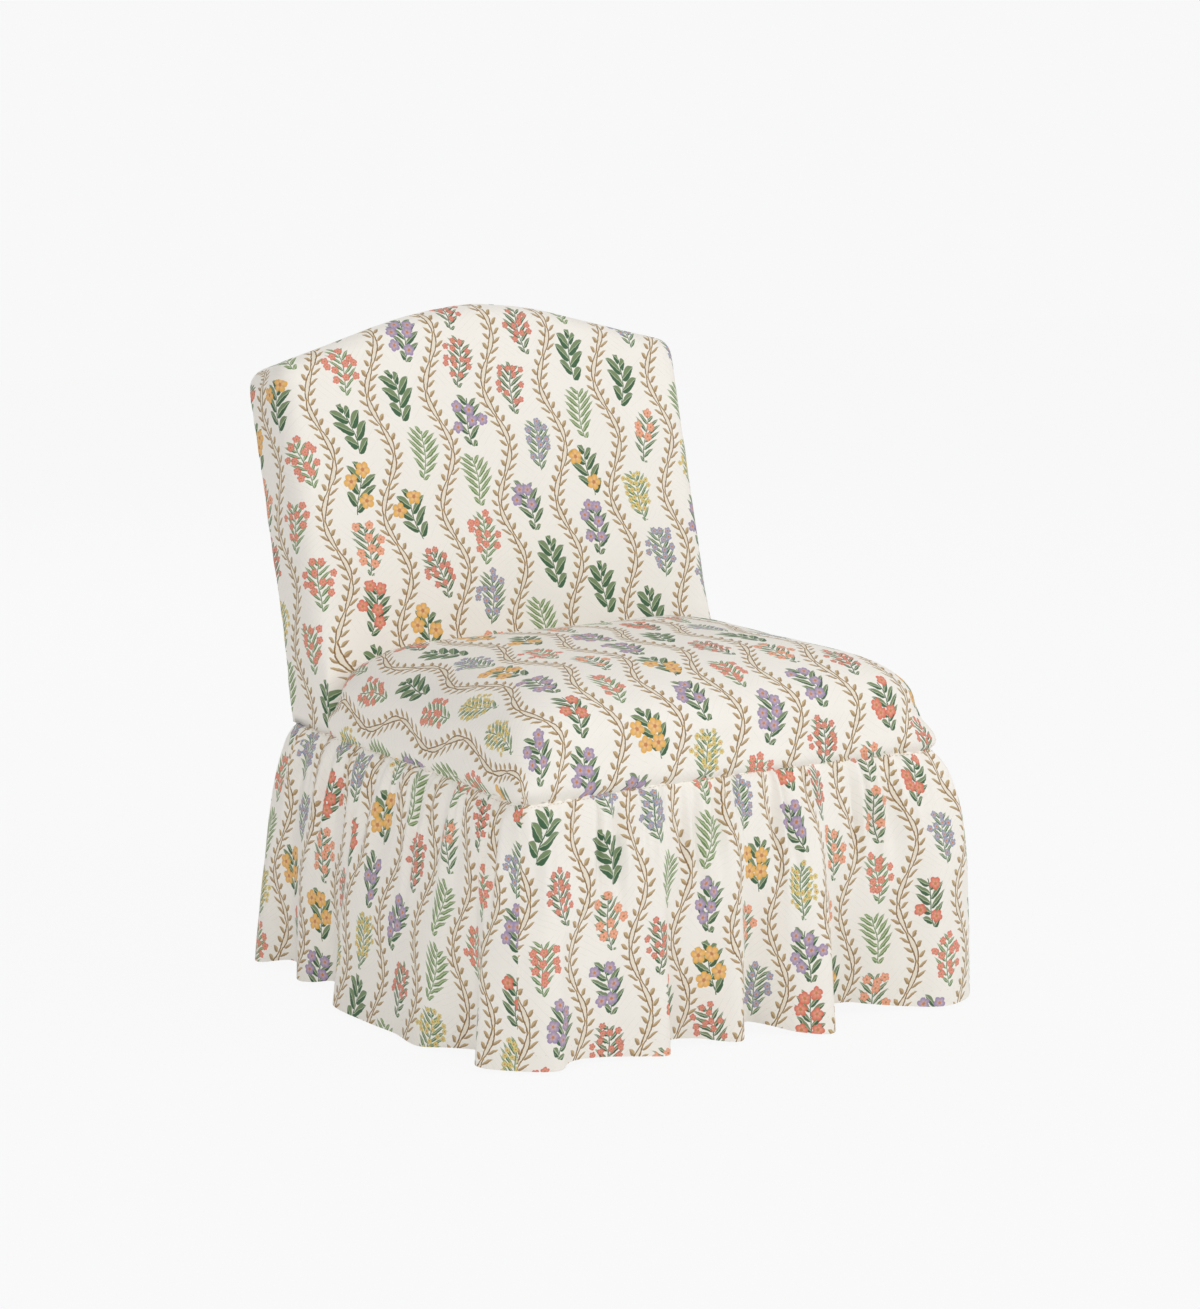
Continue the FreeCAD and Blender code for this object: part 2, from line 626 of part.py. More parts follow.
def seat_form(depth):
    """The crowned seat, depth inside the finished surface, from the lower edge of its cover up.

    Above its wall the crown follows a superellipse, so it rises fast at the edge and flattens on top.
    """
    wall_top = value["seam_height"] + value["seat_wall"]
    centre_y = rail_front - gap - cover - value["seat_bulge"] + value["crown_centre"]
    half = rail_x + gap + cover + value["seat_bulge"]
    fullness = 2 / 3
    sections = []
    for level, draw, corner in (
        (value["seam_height"] - value["cover_turn"], 1.0, "seat_corner_low"),
        (number(RAIL_TOP) + 1, 1.0, "seat_corner_low"),
        (wall_top - 16, 0.1, "seat_corner"),
    ):
        inset = depth + draw * value["seat_bulge"]
        sections.append((
            half - inset, centre_y - value["crown_centre"] + inset,
            centre_y + value["crown_rear"] + value["seat_run_back"] - inset, value[corner] - depth, level,
        ))
    for turn in (8, 24, 42, 60, 76):
        along = math.cos(math.radians(turn)) ** fullness
        up = math.sin(math.radians(turn)) ** fullness
        side = depth * math.cos(math.radians(turn))
        sections.append((
            half * along - side, centre_y - value["crown_centre"] * along + side,
            centre_y + value["crown_rear"] * along - side, value["seat_corner"] * along - side,
            wall_top + value["crown_rise"] * up - depth * math.sin(math.radians(turn)),
        ))
    loft = Part.makeLoft([seat_section(*section) for section in sections], True, True)
    return closed([flat_face([end.Point for end in face.OuterWire.OrderedVertexes]) for face in loft.Faces])


def behind_back(depth):
    """Everything behind the plane that lies depth behind the back's front face."""
    half_space = Part.makeBox(2 * FAR, FAR, 2 * FAR, Vector(-FAR, depth, -FAR))
    half_space.Placement = recline
    return half_space


def below(level):
    """Everything below a height."""
    return Part.makeBox(2 * FAR, 2 * FAR, FAR, Vector(-FAR, -FAR, level - FAR))


# Seat: foam block, wadding over it, and the cover pulled down over the rails
deck_top = number(DECK_TOP)
seat_back = behind_back(-value["seat_tuck"])
under_deck = below(deck_top + gap)
cover_inner = seat_form(cover)
wadding_outer = seat_form(cover + gap)
wadding_inner = seat_form(cover + gap + wadding)
foam = seat_form(cover + 2 * gap + wadding)
soft("seat_foam", foam.cut(seat_back).cut(under_deck))
soft("seat_wadding", wadding_outer.cut(wadding_inner).cut(seat_back).cut(under_deck))
soft("seat_cover", seat_form(0).cut(cover_inner).cut(seat_back))


def crest_points(inset, radius):
    """Half of the back's upper outline, from the side up to the crest, at an inset from the outside."""
    half = rail_x + value["back_side_padding"] - inset
    slope = math.radians(value["crest_slope"])
    arc_radius = value["crest_radius"] - inset
    arc_z = value["back_height"] - value["crest_radius"]
    tangent = Vector(arc_radius * math.sin(slope), 0, arc_z + arc_radius * math.cos(slope))
    centre_x = half - radius
    centre_z = tangent.z - (radius + math.sin(slope) * (centre_x - tangent.x)) / math.cos(slope)
    turns = [0, 45 - value["crest_slope"] / 2, 90 - value["crest_slope"]]
    shoulder = [
        Vector(
            centre_x + radius * math.cos(math.radians(turn)), 0,
            centre_z + radius * math.sin(math.radians(turn)),
        )
        for turn in turns
    ]
    return shoulder, tangent, Vector(0, 0, arc_z + arc_radius)


def back_section(inset, depth, radius, base):
    """The back's outline at one depth: straight sides, round shoulders, slopes and the crest's arc."""
    shoulder, tangent, top = crest_points(inset, radius)

    def at(point, mirrored=False):
        return Vector(-point.x if mirrored else point.x, depth, point.z)

    foot = Vector(shoulder[0].x, 0, base)
    edges = [
        Part.LineSegment(at(foot, True), at(foot)),
        Part.LineSegment(at(foot), at(shoulder[0])),
        Part.Arc(at(shoulder[0]), at(shoulder[1]), at(shoulder[2])),
        Part.LineSegment(at(shoulder[2]), at(tangent)),
        Part.Arc(at(tangent), at(top), at(tangent, True)),
        Part.LineSegment(at(tangent, True), at(shoulder[2], True)),
        Part.Arc(at(shoulder[2], True), at(shoulder[1], True), at(shoulder[0], True)),
        Part.LineSegment(at(shoulder[0], True), at(foot, True)),
    ]
    return Part.Wire([edge.toShape() for edge in edges])


def back_form(depth, rear):
    """The padded back, depth inside its finished surface, to the given depth at the rear."""
    edge = value["back_edge"]
    base = -60
    steps = [(rear, 3.0, 0), (rear - edge / 2, 0.5, 0), (2.2 * edge, 0, 0), (edge, 0, 0)]
    for turn in (30, 62):
        lift = edge * (1 - math.sin(math.radians(turn)))
        steps.append((lift, edge * (1 - math.cos(math.radians(turn))), turn))
    steps.append((0, edge + 10, 90))
    sections = []
    for position, inset, turn in steps:
        inward = inset + depth * math.cos(math.radians(turn))
        sections.append(back_section(
            inward, position + depth * math.sin(math.radians(turn)),
            max(value["shoulder_radius"] - inward, 8), base,
        ))
    return Part.makeLoft(sections, True, True)


def lean_form(shape, level):
    """Turns a form of the back to its slope and trims it at a height."""
    shape.Placement = recline
    return shape.cut(below(level))


# Back: foam in front of the frame, wadding round foam and posts, cover round both, closed at the rear
strap_front = number(POST_FRONT) - 2 * value["strap_thickness"] - gap
post_rear = number(POST_REAR)
back_deck = deck_top + gap
cover_rear = post_rear + gap + value["board_thickness"]
foam_rear = Part.makeBox(2 * FAR, FAR, 2 * FAR, Vector(-FAR, strap_front, -FAR))
foam_form = back_form(cover + 2 * gap + wadding, post_rear).cut(foam_rear)
wadding_form = back_form(cover + gap, post_rear - 2)
hollow = back_form(cover + gap + wadding, post_rear + 20)
cover_hollow = back_form(cover, post_rear + 20)
soft("back_foam", lean_form(foam_form, back_deck))
soft("back_wadding", lean_form(wadding_form.cut(hollow), back_deck))
inside_form = lean_form(back_form(0, cover_rear).cut(cover_hollow), value["seam_height"] + gap)
between_rails = Part.makeBox(2 * (rail_x + gap), 2 * FAR, FAR, Vector(-rail_x - gap, -FAR, back_deck - FAR))
soft("inside_back_cover", inside_form.cut(between_rails))


def back_plate(inset, front, thickness):
    """A flat sheet in the back's outline."""
    radius = value["shoulder_radius"] - inset
    sections = [back_section(inset, depth, radius, -60) for depth in (front, front + thickness)]
    return Part.makeLoft(sections, True, True)


board_front = post_rear + gap
outside_front = value["back_thickness"] - cover
for label, inset, front, thickness in (
    ("outside_back_board", 12, board_front, value["board_thickness"]),
    ("outside_back_cover", 3, outside_front, cover),
):
    soft(label, lean_form(back_plate(inset, front, thickness), value["seam_height"] + gap))


def ring_point(side, share, half, front, rear, front_radius, rear_radius):
    """A point and its outward direction on a rounded rectangle, a share of the way along one side.

    Side 0 is the front, 1 the right, 2 the rear and 3 the left. Each runs from the middle of one
    corner's turn to the middle of the next, and share is measured along that length.
    """
    radii = (front_radius, front_radius, rear_radius, rear_radius)
    first, last = radii[side], radii[(side + 1) % 4]
    width, depth = 2 * half, rear - front
    length, reach = (width, depth / 2) if side % 2 == 0 else (depth, width / 2)
    run = length - first - last
    along = share * (run + (first + last) * math.pi / 4)
    entry = first * math.pi / 4
    if along < entry:
        turn, radius, middle = -math.pi / 4 + along / first, first, first - length / 2
    elif along > entry + run:
        turn, radius, middle = (along - entry - run) / last, last, length / 2 - last
    else:
        turn, radius, middle = 0, 0, first - length / 2 + along - entry
    local = Vector(middle + radius * math.sin(turn), -reach + radius * (1 - math.cos(turn)), 0)
    outward = Vector(math.sin(turn), -math.cos(turn), 0)
    spin = Rotation(Vector(0, 0, 1), 90 * side)
    return Vector(0, (front + rear) / 2, 0) + spin.multVec(local), spin.multVec(outward)


def skirt_row(side, ring, depth, level, inward):
    """Points along one skirt panel at one height, swinging out and in once for every fold."""
    row = []
    for index in range(FOLDS * STRIPS + 1):
        share = 0.0005 + 0.999 * index / (FOLDS * STRIPS)
        point, outward = ring_point(side, share, *ring)
        swing = depth * math.sin(2 * math.pi * index / STRIPS) - inward
        row.append(point + outward * swing + Vector(0, 0, level))
    return row


def flat_strip(lower, upper):
    """Triangles between two rows of points."""
    triangles = []
    for index in range(len(lower) - 1):
        triangles.append((lower[index], lower[index + 1], upper[index + 1]))
        triangles.append((lower[index], upper[index + 1], upper[index]))
    return [flat_face(triangle) for triangle in triangles]


def skirt_panel(side):
    """One gathered panel: flat strips outside and inside, closed at the hem, the seam and both ends."""
    outer, inner = [], []
    for share in (0, 0.45, 1):
        ring = tuple(low + share * (high - low) for low, high in zip(hem_ring, seam_ring))
        depth = value["fold_depth"] * (1 - share) ** 0.8 + value["gather_depth"] * share
        level = value["hem_height"] + share * (value["seam_height"] - value["hem_height"])
        outer.append(skirt_row(side, ring, depth, level, 0))
        inner.append(skirt_row(side, ring, depth, level, value["skirt_thickness"]))
    faces = flat_strip(inner[0], outer[0]) + flat_strip(outer[-1], inner[-1])
    for low in (0, 1):
        faces += flat_strip(outer[low], outer[low + 1]) + flat_strip(inner[low + 1], inner[low])
        for end in (0, -1):
            faces += flat_strip(
                [outer[low][end], inner[low][end]], [outer[low + 1][end], inner[low + 1][end]],
            )
    return closed(faces)


# Skirt: four gathered panels, joined at the corners, whose folds deepen from the seam to the hem
seam_ring = (
    number(SEAM_X), number(SEAM_FRONT), number(SEAM_REAR), value["seam_corner"], value["seam_corner_rear"],
)
hem_ring = (
    number(SEAM_X) + value["side_flare"], number(SEAM_FRONT) - value["front_flare"],
    number(SEAM_REAR) + value["rear_flare"], value["hem_corner"], value["hem_corner"],
)
FOLDS = 6
STRIPS = 8
for side, label in enumerate(("front", "right", "rear", "left")):
    soft(f"{label}_skirt_panel", skirt_panel(side))

doc.recompute()
for item in doc.Objects:
    if "Invalid" in item.State or "Error" in item.State:
        raise RuntimeError(f"{item.Label} failed: {item.State}")
for piece in nodes:
    if piece.Shape.isNull() or not piece.Shape.isValid():
        raise RuntimeError(f"{piece.Label} has no valid shape")

os.makedirs("parts", exist_ok=True)
for piece in nodes:
    piece.Shape.exportStep(f"parts/{piece.Label}.step")
    room = piece.Shape.BoundBox
    print(f"{piece.Label}: {len(piece.Shape.Solids)} solids, {piece.Shape.Volume / 1000:.1f} cm3,"
          f" z {room.ZMin:.1f} to {room.ZMax:.1f}")
whole = Part.makeCompound([piece.Shape for piece in nodes]).BoundBox
print(f"whole chair: x {whole.XMin:.1f} to {whole.XMax:.1f}, y {whole.YMin:.1f} to {whole.YMax:.1f},"
      f" z {whole.ZMin:.1f} to {whole.ZMax:.1f}")
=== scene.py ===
# %% [markdown]
# # An upholstered slipper chair
# The chair is a hardwood frame that never shows, dressed in one printed cloth: a crowned seat, a reclined
# back with an arched crest, and a gathered skirt down to the floor. The frame comes in first, because every
# soft piece takes its place from it. Blender counts in metres. The sizes of the soft pieces are written in
# millimetres, as a pattern cutter would, and turn into metres where a mesh is made.

# %% The fixed frame
import json
import math

import bmesh
import bpy
import numpy as np
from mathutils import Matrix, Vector, noise


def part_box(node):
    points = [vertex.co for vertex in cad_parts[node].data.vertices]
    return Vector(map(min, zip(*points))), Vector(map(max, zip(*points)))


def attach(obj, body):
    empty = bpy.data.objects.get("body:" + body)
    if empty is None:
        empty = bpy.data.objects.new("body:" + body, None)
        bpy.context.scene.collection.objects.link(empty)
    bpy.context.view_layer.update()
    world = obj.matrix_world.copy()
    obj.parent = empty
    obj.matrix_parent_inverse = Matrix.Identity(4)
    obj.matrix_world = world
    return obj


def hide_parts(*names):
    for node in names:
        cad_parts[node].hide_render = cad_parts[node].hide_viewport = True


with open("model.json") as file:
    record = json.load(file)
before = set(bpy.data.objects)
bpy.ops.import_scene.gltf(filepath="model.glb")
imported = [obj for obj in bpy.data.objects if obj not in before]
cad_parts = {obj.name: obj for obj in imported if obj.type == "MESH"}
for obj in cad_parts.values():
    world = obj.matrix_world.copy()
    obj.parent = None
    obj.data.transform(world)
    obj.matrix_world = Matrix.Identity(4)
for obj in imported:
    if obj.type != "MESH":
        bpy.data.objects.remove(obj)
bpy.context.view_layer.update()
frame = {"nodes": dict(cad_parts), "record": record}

print("nodes", len(frame["nodes"]))

# %% [markdown]
# ## Camera
# The camera stands to the chair's front left and a little above the seat, five metres off. A long lens at
# that distance keeps the seat's edges nearly parallel, as a catalogue picture does. It looks straight at its
# target, so it needs no shift.

# %% Camera
def new_object(name, data):
    """An object with its data, linked into the scene."""
    made = bpy.data.objects.new(name, data)
    bpy.context.collection.objects.link(made)
    return made


target = Vector((-0.0103, -0.0345, 0.4268))
azimuth, elevation, distance = math.radians(32.18), math.radians(10.05), 5.0
towards_camera = Vector((
    -math.sin(azimuth) * math.cos(elevation), -math.cos(azimuth) * math.cos(elevation), math.sin(elevation),
))
camera_data = bpy.data.cameras.new("camera")
camera_data.sensor_fit = "HORIZONTAL"
camera_data.sensor_width = 36
camera_data.lens = 118.74
camera_data.dof.use_dof = False
camera = new_object("camera", camera_data)
camera.location = target + towards_camera * distance
camera.rotation_euler = (-towards_camera).to_track_quat("-Z", "Y").to_euler()
bpy.context.scene.camera = camera
print("camera at", [round(c, 3) for c in camera.location], "lens", camera_data.lens)

# %% [markdown]
# ## Floor and light
# The room is a plain pale floor and a plain pale world. What the camera sees of them is set by Is Camera
# Ray, so the ground stays even and white while the lamps stay at a level where cloth renders as written.

# %% Helpers for node trees
scene = bpy.context.scene
scene.view_settings.view_transform = "Standard"
NUMBER, VECTOR, COLOUR = "NodeSocketFloat", "NodeSocketVector", "NodeSocketColor"


def srgb(red, green, blue):
    """A colour from its 0 to 255 screen values, as the linear value that a shader needs."""
    return tuple(
        ((c / 255 + 0.055) / 1.055) ** 2.4 if c > 10 else c / 255 / 12.92 for c in (red, green, blue)
    ) + (1,)


class Wire:
    """A number on its way through a node tree: each sign in a formula with it adds one Math node."""

    def __init__(self, graph, socket):
        self.graph, self.socket = graph, socket

    def __abs__(self):
        return self.graph.math("ABSOLUTE", self)


def sign(operation, swapped=False):
    """The method of Wire that stands for one sign, with the wire after the sign where it is swapped."""
    def method(self, other):
        return self.graph.math(operation, *((other, self) if swapped else (self, other)))
    return method


for name, operation in (
    ("add", "ADD"), ("sub", "SUBTRACT"), ("mul", "MULTIPLY"), ("truediv", "DIVIDE"), ("pow", "POWER"),
):
    setattr(Wire, f"__{name}__", sign(operation))
    setattr(Wire, f"__r{name}__", sign(operation, swapped=True))
Wire.__lt__, Wire.__gt__ = sign("LESS_THAN"), sign("GREATER_THAN")


class Graph:
    """Short ways to add nodes and wires to one node tree."""

    def __init__(self, tree):
        self.tree = tree

    def add(self, kind, inputs=None, **settings):
        node = self.tree.nodes.new(kind)
        for name, value in settings.items():
            setattr(node, name, value)
        for name, value in (inputs or {}).items():
            self.feed(node.inputs[name], value)
        return node

    def feed(self, socket, value):
        value = value.socket if isinstance(value, Wire) else value
        if isinstance(value, bpy.types.NodeSocket):
            self.tree.links.new(value, socket)
        else:
            socket.default_value = value

    def math(self, operation, *values, clamp=False):
        node = self.add("ShaderNodeMath", dict(enumerate(values)), operation=operation, use_clamp=clamp)
        return Wire(self, node.outputs[0])

    def vector(self, operation, first, second):
        place = "Scale" if operation == "SCALE" else 1
        return self.add("ShaderNodeVectorMath", {0: first, place: second}, operation=operation).outputs[0]

    def split(self, value, kind="XYZ"):
        """The three numbers of a vector, or of a colour where kind is Color."""
        return [Wire(self, socket) for socket in self.add("ShaderNodeSeparate" + kind, {0: value}).outputs]

    def join(self, x, y):
        return self.add("ShaderNodeCombineXYZ", {0: x, 1: y}).outputs[0]

    def noise(self, place, scale, detail, output="Fac", **more):
        node = self.add("ShaderNodeTexNoise", {"Vector": place, "Scale": scale, "Detail": detail, **more})
        return Wire(self, node.outputs[output])

    def dice(self, cell):
        """A random number and three more, the same all over one cell."""
        node = self.add("ShaderNodeTexWhiteNoise", {"Vector": cell}, noise_dimensions="2D")
        return Wire(self, node.outputs["Value"]), node.outputs["Color"]

    def mix(self, factor, first, second):
        return self.add("ShaderNodeMix", {0: factor, 6: first, 7: second}, data_type="RGBA").outputs[2]

    def inside(self, value, soft):
        """1 where value is above zero, fading over the width soft."""
        return self.math("DIVIDE", value + soft / 2, soft, clamp=True)

    def group(self, tree, **inputs):
        return self.add("ShaderNodeGroup", inputs, node_tree=tree).outputs


print("signs of a formula", sorted(name for name in vars(Wire) if name.startswith("__r")))

# %% Helpers for materials and node groups
def new_material(name):
    """An empty material, its graph and the socket that takes its shader."""
    material = bpy.data.materials.new(name)
    material.use_nodes = True
    material.node_tree.nodes.clear()
    graph = Graph(material.node_tree)
    return material, graph, graph.add("ShaderNodeOutputMaterial").inputs["Surface"]


def finish_material(g, out, colour, rough, height, strength, distance, **more):
    """The end of every material of the chair: a colour and a roughness, with a height as its bump."""
    bump = g.add("ShaderNodeBump", {"Strength": strength, "Distance": distance, "Height": height})
    g.feed(out, g.add("ShaderNodeBsdfPrincipled", {
        "Base Color": colour, "Roughness": rough, "Normal": bump.outputs[0], **more,
    }).outputs[0])


def new_group(name, inputs, outputs):
    """A node group; inputs and outputs map the sockets' names to their types."""
    tree = bpy.data.node_groups.new(name, "ShaderNodeTree")
    for way, sockets in (("INPUT", inputs), ("OUTPUT", outputs)):
        for socket_name, kind in sockets.items():
            tree.interface.new_socket(socket_name, in_out=way, socket_type=kind)
    graph = Graph(tree)
    return tree, graph, graph.add("NodeGroupInput").outputs, graph.add("NodeGroupOutput").inputs


print("view transform", scene.view_settings.view_transform)

# %% World, floor and lamps
BACKGROUND = srgb(248, 248, 248)
WORLD_FILL = 0.46
FLOOR_GLOW = 1.014
FLOOR_EVENNESS = 0.97
world = bpy.data.worlds.new("studio")
scene.world = world
world.use_nodes = True
world.node_tree.nodes.clear()
room = Graph(world.node_tree)
ray = room.add("ShaderNodeLightPath").outputs["Is Camera Ray"]
seen = room.add("ShaderNodeBackground", {"Color": BACKGROUND, "Strength": 1.0})
fill = room.add("ShaderNodeBackground", {"Color": (1, 1, 1, 1), "Strength": WORLD_FILL})
either = room.add("ShaderNodeMixShader", {0: ray, 1: fill.outputs[0], 2: seen.outputs[0]})
room.add("ShaderNodeOutputWorld", {"Surface": either.outputs[0]})

floor_material, g, out = new_material("studio_floor")
ray = g.add("ShaderNodeLightPath").outputs["Is Camera Ray"]
matte = g.add("ShaderNodeBsdfDiffuse", {"Color": (0.9, 0.9, 0.9, 1)})
glow = g.add("ShaderNodeEmission", {"Color": BACKGROUND, "Strength": FLOOR_GLOW})
even = g.add("ShaderNodeMixShader", {
    0: g.math("MULTIPLY", ray, FLOOR_EVENNESS), 1: matte.outputs[0], 2: glow.outputs[0],
})
g.feed(out, even.outputs[0])
bpy.ops.mesh.primitive_plane_add(size=14)
floor = bpy.context.object
floor.name = "studio_floor"
floor.data.materials.append(floor_material)


def lamp(name, place, size, power):
    """A square soft lamp that faces the middle of the chair."""
    data = bpy.data.lights.new(name, "AREA")
    data.size = size
    data.energy = power
    light = new_object(name, data)
    light.location = place
    light.rotation_euler = (Vector((0, 0, 0.45)) - Vector(place)).to_track_quat("-Z", "Y").to_euler()
    return light


lamp("key", (2.2, -3.0, 3.2), 2.4, 90)
lamp("left_fill", (-3.4, -2.2, 1.8), 2.6, 47)
lamp("rear_fill", (0.6, 3.4, 2.4), 2.6, 40)

# %% [markdown]
# ## The printed cloth
# The cloth is a warm cream ground with pairs of thin tan stems that run up it in an even wave, and simple
# sprigs between them. A print like this could be painted as a picture, but here it is drawn by arithmetic on
# the cloth's own coordinates in millimetres, so it stays sharp at any size and follows each fold. Every cell
# rolls its own dice: the dice pick the kind of sprig, its lean and the spread of its blossoms.

# %% Print: layout of waves and cells
CHANNEL = 86.0
WAVE_LENGTH = 156.0
WAVE_SWING = 13.0
ROW = WAVE_LENGTH / 2
PER_METRE = 1000.0

layout, g, given, result = new_group(
    "print_layout", {"Cloth": VECTOR},
    {"Place": VECTOR, "Cell": VECTOR, "Edge": NUMBER, "Along": NUMBER, "Side": NUMBER},
)


def wave(height):
    """How far the stems have swung sideways at one height up the cloth."""
    return g.math("SINE", height * (2 * math.pi / WAVE_LENGTH)) * WAVE_SWING


# a small wobble of every line, as in a print from a drawing
millimetres = g.vector("SCALE", given["Cloth"], PER_METRE)
wobble = g.vector("SUBTRACT", g.noise(millimetres, 0.22, 2.0, "Color"), (0.5, 0.5, 0.5))
u, v, _ = g.split(g.vector("ADD", millimetres, g.vector("SCALE", wobble, 2.2)))

# columns between the waves, and rows that are half a step lower in every other column
unswung = u - wave(v)
column = g.math("FLOOR", unswung / CHANNEL)
off_middle = unswung - (column + 0.5) * CHANNEL
drop = g.math("MODULO", abs(column), 2.0) * (ROW / 2)
row = g.math("FLOOR", (v + drop) / ROW)
middle_v = (row + 0.5) * ROW - drop
middle_u = (column + 0.5) * CHANNEL + wave(middle_v)
g.feed(result["Place"], g.join(u - middle_u, v - middle_v))
g.feed(result["Cell"], g.join(column, row))
g.feed(result["Edge"], CHANNEL / 2 - abs(off_middle))
g.feed(result["Along"], v)
g.feed(result["Side"], off_middle)
print("layout group", len(layout.nodes), "nodes")

# %% [markdown]
# ### Sprigs
# Each kind of sprig is one row of a table: a blossom colour, a leaf colour, the blossoms' spacing, and the
# leaves' pitch, length and width in millimetres; a spacing of 0 leaves the blossoms out. The leaves' heights
# are slanted along the leaf, so that no leaf crosses into the next one's strip.

# %% Print: kinds of sprig, and their leaves
KINDS = [
    ((206, 58, 42), (22, 76, 36), 11.0, 9.5, 27.0, 2.6),
    ((150, 166, 120), (92, 126, 62), 0.0, 9.5, 31.0, 2.8),
    ((236, 138, 98), (34, 88, 46), 15.0, 10.0, 28.0, 2.6),
    ((230, 168, 24), (20, 80, 36), 25.0, 15.5, 30.0, 5.3),
    ((136, 120, 176), (28, 82, 42), 19.5, 13.0, 29.0, 4.1),
    ((96, 132, 88), (20, 84, 38), 0.0, 17.0, 30.0, 6.4),
    ((220, 82, 64), (74, 116, 56), 13.0, 9.0, 26.0, 2.3),
    ((210, 192, 64), (48, 100, 48), 9.0, 8.0, 28.0, 2.2),
    ((216, 74, 40), (24, 80, 38), 20.5, 12.0, 28.0, 3.9),
    ((110, 132, 178), (44, 96, 56), 12.5, 8.5, 27.0, 2.4),
]
RAMP_MM = 30.0
PETAL_REACH = 0.44
STRIDE = 4000.0


def steps(graph, chance, colours):
    """A colour ramp in even flat steps, one for each kind of sprig."""
    node = graph.add("ShaderNodeValToRGB", {0: chance})
    ramp = node.color_ramp
    ramp.interpolation = "CONSTANT"
    while len(ramp.elements) < len(colours):
        ramp.elements.new(0.5)
    for index, colour in enumerate(colours):
        ramp.elements[index].position = index / len(colours)
        ramp.elements[index].color = colour
    return node.outputs[0]


def leaves(graph, offset, height, pitch, length, width, angle):
    """Pointed leaves in pairs along a stem: returns the leaf mask and the place across a leaf."""
    away = abs(offset)
    slanted = height - away * (1 / math.tan(angle)) + (offset > 0.0) * pitch * 0.5
    root = (graph.math("FLOOR", slanted / pitch) + 0.5) * pitch
    across = (slanted - root) * math.sin(angle)
    share = graph.math("DIVIDE", away, length(root) * math.sin(angle), clamp=True)
    swell = graph.math("SINE", share ** 0.8 * math.pi)
    return graph.inside(swell ** 0.85 * width - abs(across) - 0.1, 0.5), across


print("kinds", len(KINDS), "without blossoms", sum(kind[2] == 0 for kind in KINDS))

# %% Print: stem and leaves of the sprig in each cell
sprig, g, given, result = new_group(
    "print_sprig", {"Place": VECTOR, "Cell": VECTOR}, {"Color": COLOUR, "Ink": NUMBER},
)
chance, _ = g.dice(given["Cell"])
_, more = g.dice(g.vector("ADD", given["Cell"], (7.3, 2.9, 0)))
rolls = g.split(more, "Color")
bloom_colour = steps(g, chance, [srgb(*kind[0]) for kind in KINDS])
leaf_colour = steps(g, chance, [srgb(*kind[1]) for kind in KINDS])
scales = steps(g, chance, [(*(size / RAMP_MM for size in kind[2:5]), 1) for kind in KINDS])
widths = steps(g, chance, [(kind[5] / RAMP_MM, 0, 0, 1) for kind in KINDS])
spacing, pitch, leaf_length = (part * RAMP_MM for part in g.split(scales, "Color"))
leaf_width = g.split(widths, "Color")[0] * RAMP_MM
lean = (rolls[0] - 0.5) * 0.5
turned = g.add("ShaderNodeVectorRotate", {"Vector": given["Place"], "Angle": lean}, rotation_type="Z_AXIS")
x, y, _ = g.split(turned.outputs[0])

# stem: a thin line with a lazy bend
off_stem = x - g.math("SINE", y * 0.075 + rolls[1] * 6.28) * 2.6
stem = g.inside(0.65 - abs(off_stem), 0.5) * g.inside(y + 36.0, 1.0) * g.inside(27.0 - y, 1.0)


def leaf_reach(root):
    """Leaves shorten towards both ends of the sprig."""
    rise = (root + 4.0) / 33.0
    return g.math("MAXIMUM", leaf_length * g.math("MAXIMUM", 1.0 - rise * rise, 0.0) ** 0.6, 0.01)


leaf, leaf_across = leaves(g, off_stem, y, pitch, leaf_reach, leaf_width, math.radians(48))
leaf = leaf * (abs(y + 2.0) < 35.0)
rib = g.inside(0.42 - abs(leaf_across), 0.4) * leaf
leaf_shade = g.mix((leaf_across > 0.0) * 0.22, leaf_colour, srgb(210, 222, 160))
leaf_paint = g.mix(rib * 0.55, leaf_shade, srgb(222, 228, 200))
print("sprig group so far", len(sprig.nodes), "nodes")

# %% Print: blossoms of the sprig
# one for each point of a loose scatter, which starts at another place in each kind of cell
spaced = g.math("MAXIMUM", spacing, 1.0)
scaled = g.vector("SCALE", g.join(x, y + chance * STRIDE), 1.0 / spaced)
scatter = g.add(
    "ShaderNodeTexVoronoi", {"Vector": scaled, "Scale": 1.0, "Randomness": 0.55}, voronoi_dimensions="2D",
).outputs
across, up, _ = g.split(g.vector("SUBTRACT", scaled, scatter["Position"]))
radius = g.math("SQRT", across * across + up * up)
bloom_dice = g.split(scatter["Color"], "Color")
petal = abs(g.math("COSINE", g.math("ARCTAN2", up, across) * 2.5 + bloom_dice[1] * 6.0))
petal_edge = (0.66 + petal ** 0.6 * 0.34) * PETAL_REACH
bloom = g.math("DIVIDE", petal_edge - radius, 0.6 / spaced, clamp=True)

# only the blossoms whose middle lies inside an oval are kept, and now and then one is missing
home_x, home_y, _ = g.split(scatter["Position"])
home_x, home_y = home_x * spacing, home_y * spacing - chance * STRIDE
oval = (home_x / 23.0) ** 2.0 + ((home_y - 5.0) / 28.0) ** 2.0
bloom = bloom * ((oval < 1.0) * (spacing > 1.0) * (bloom_dice[0] > 0.16))
depth = g.math("DIVIDE", radius, PETAL_REACH, clamp=True)
petal_tone = g.mix((1.0 - depth) * 0.55, bloom_colour, srgb(250, 226, 196))
petal_line = g.mix((1.0 - petal) * 0.30, petal_tone, srgb(150, 70, 60))
bloom_paint = g.mix(g.inside(0.10 - radius, 0.05), petal_line, srgb(196, 120, 60))

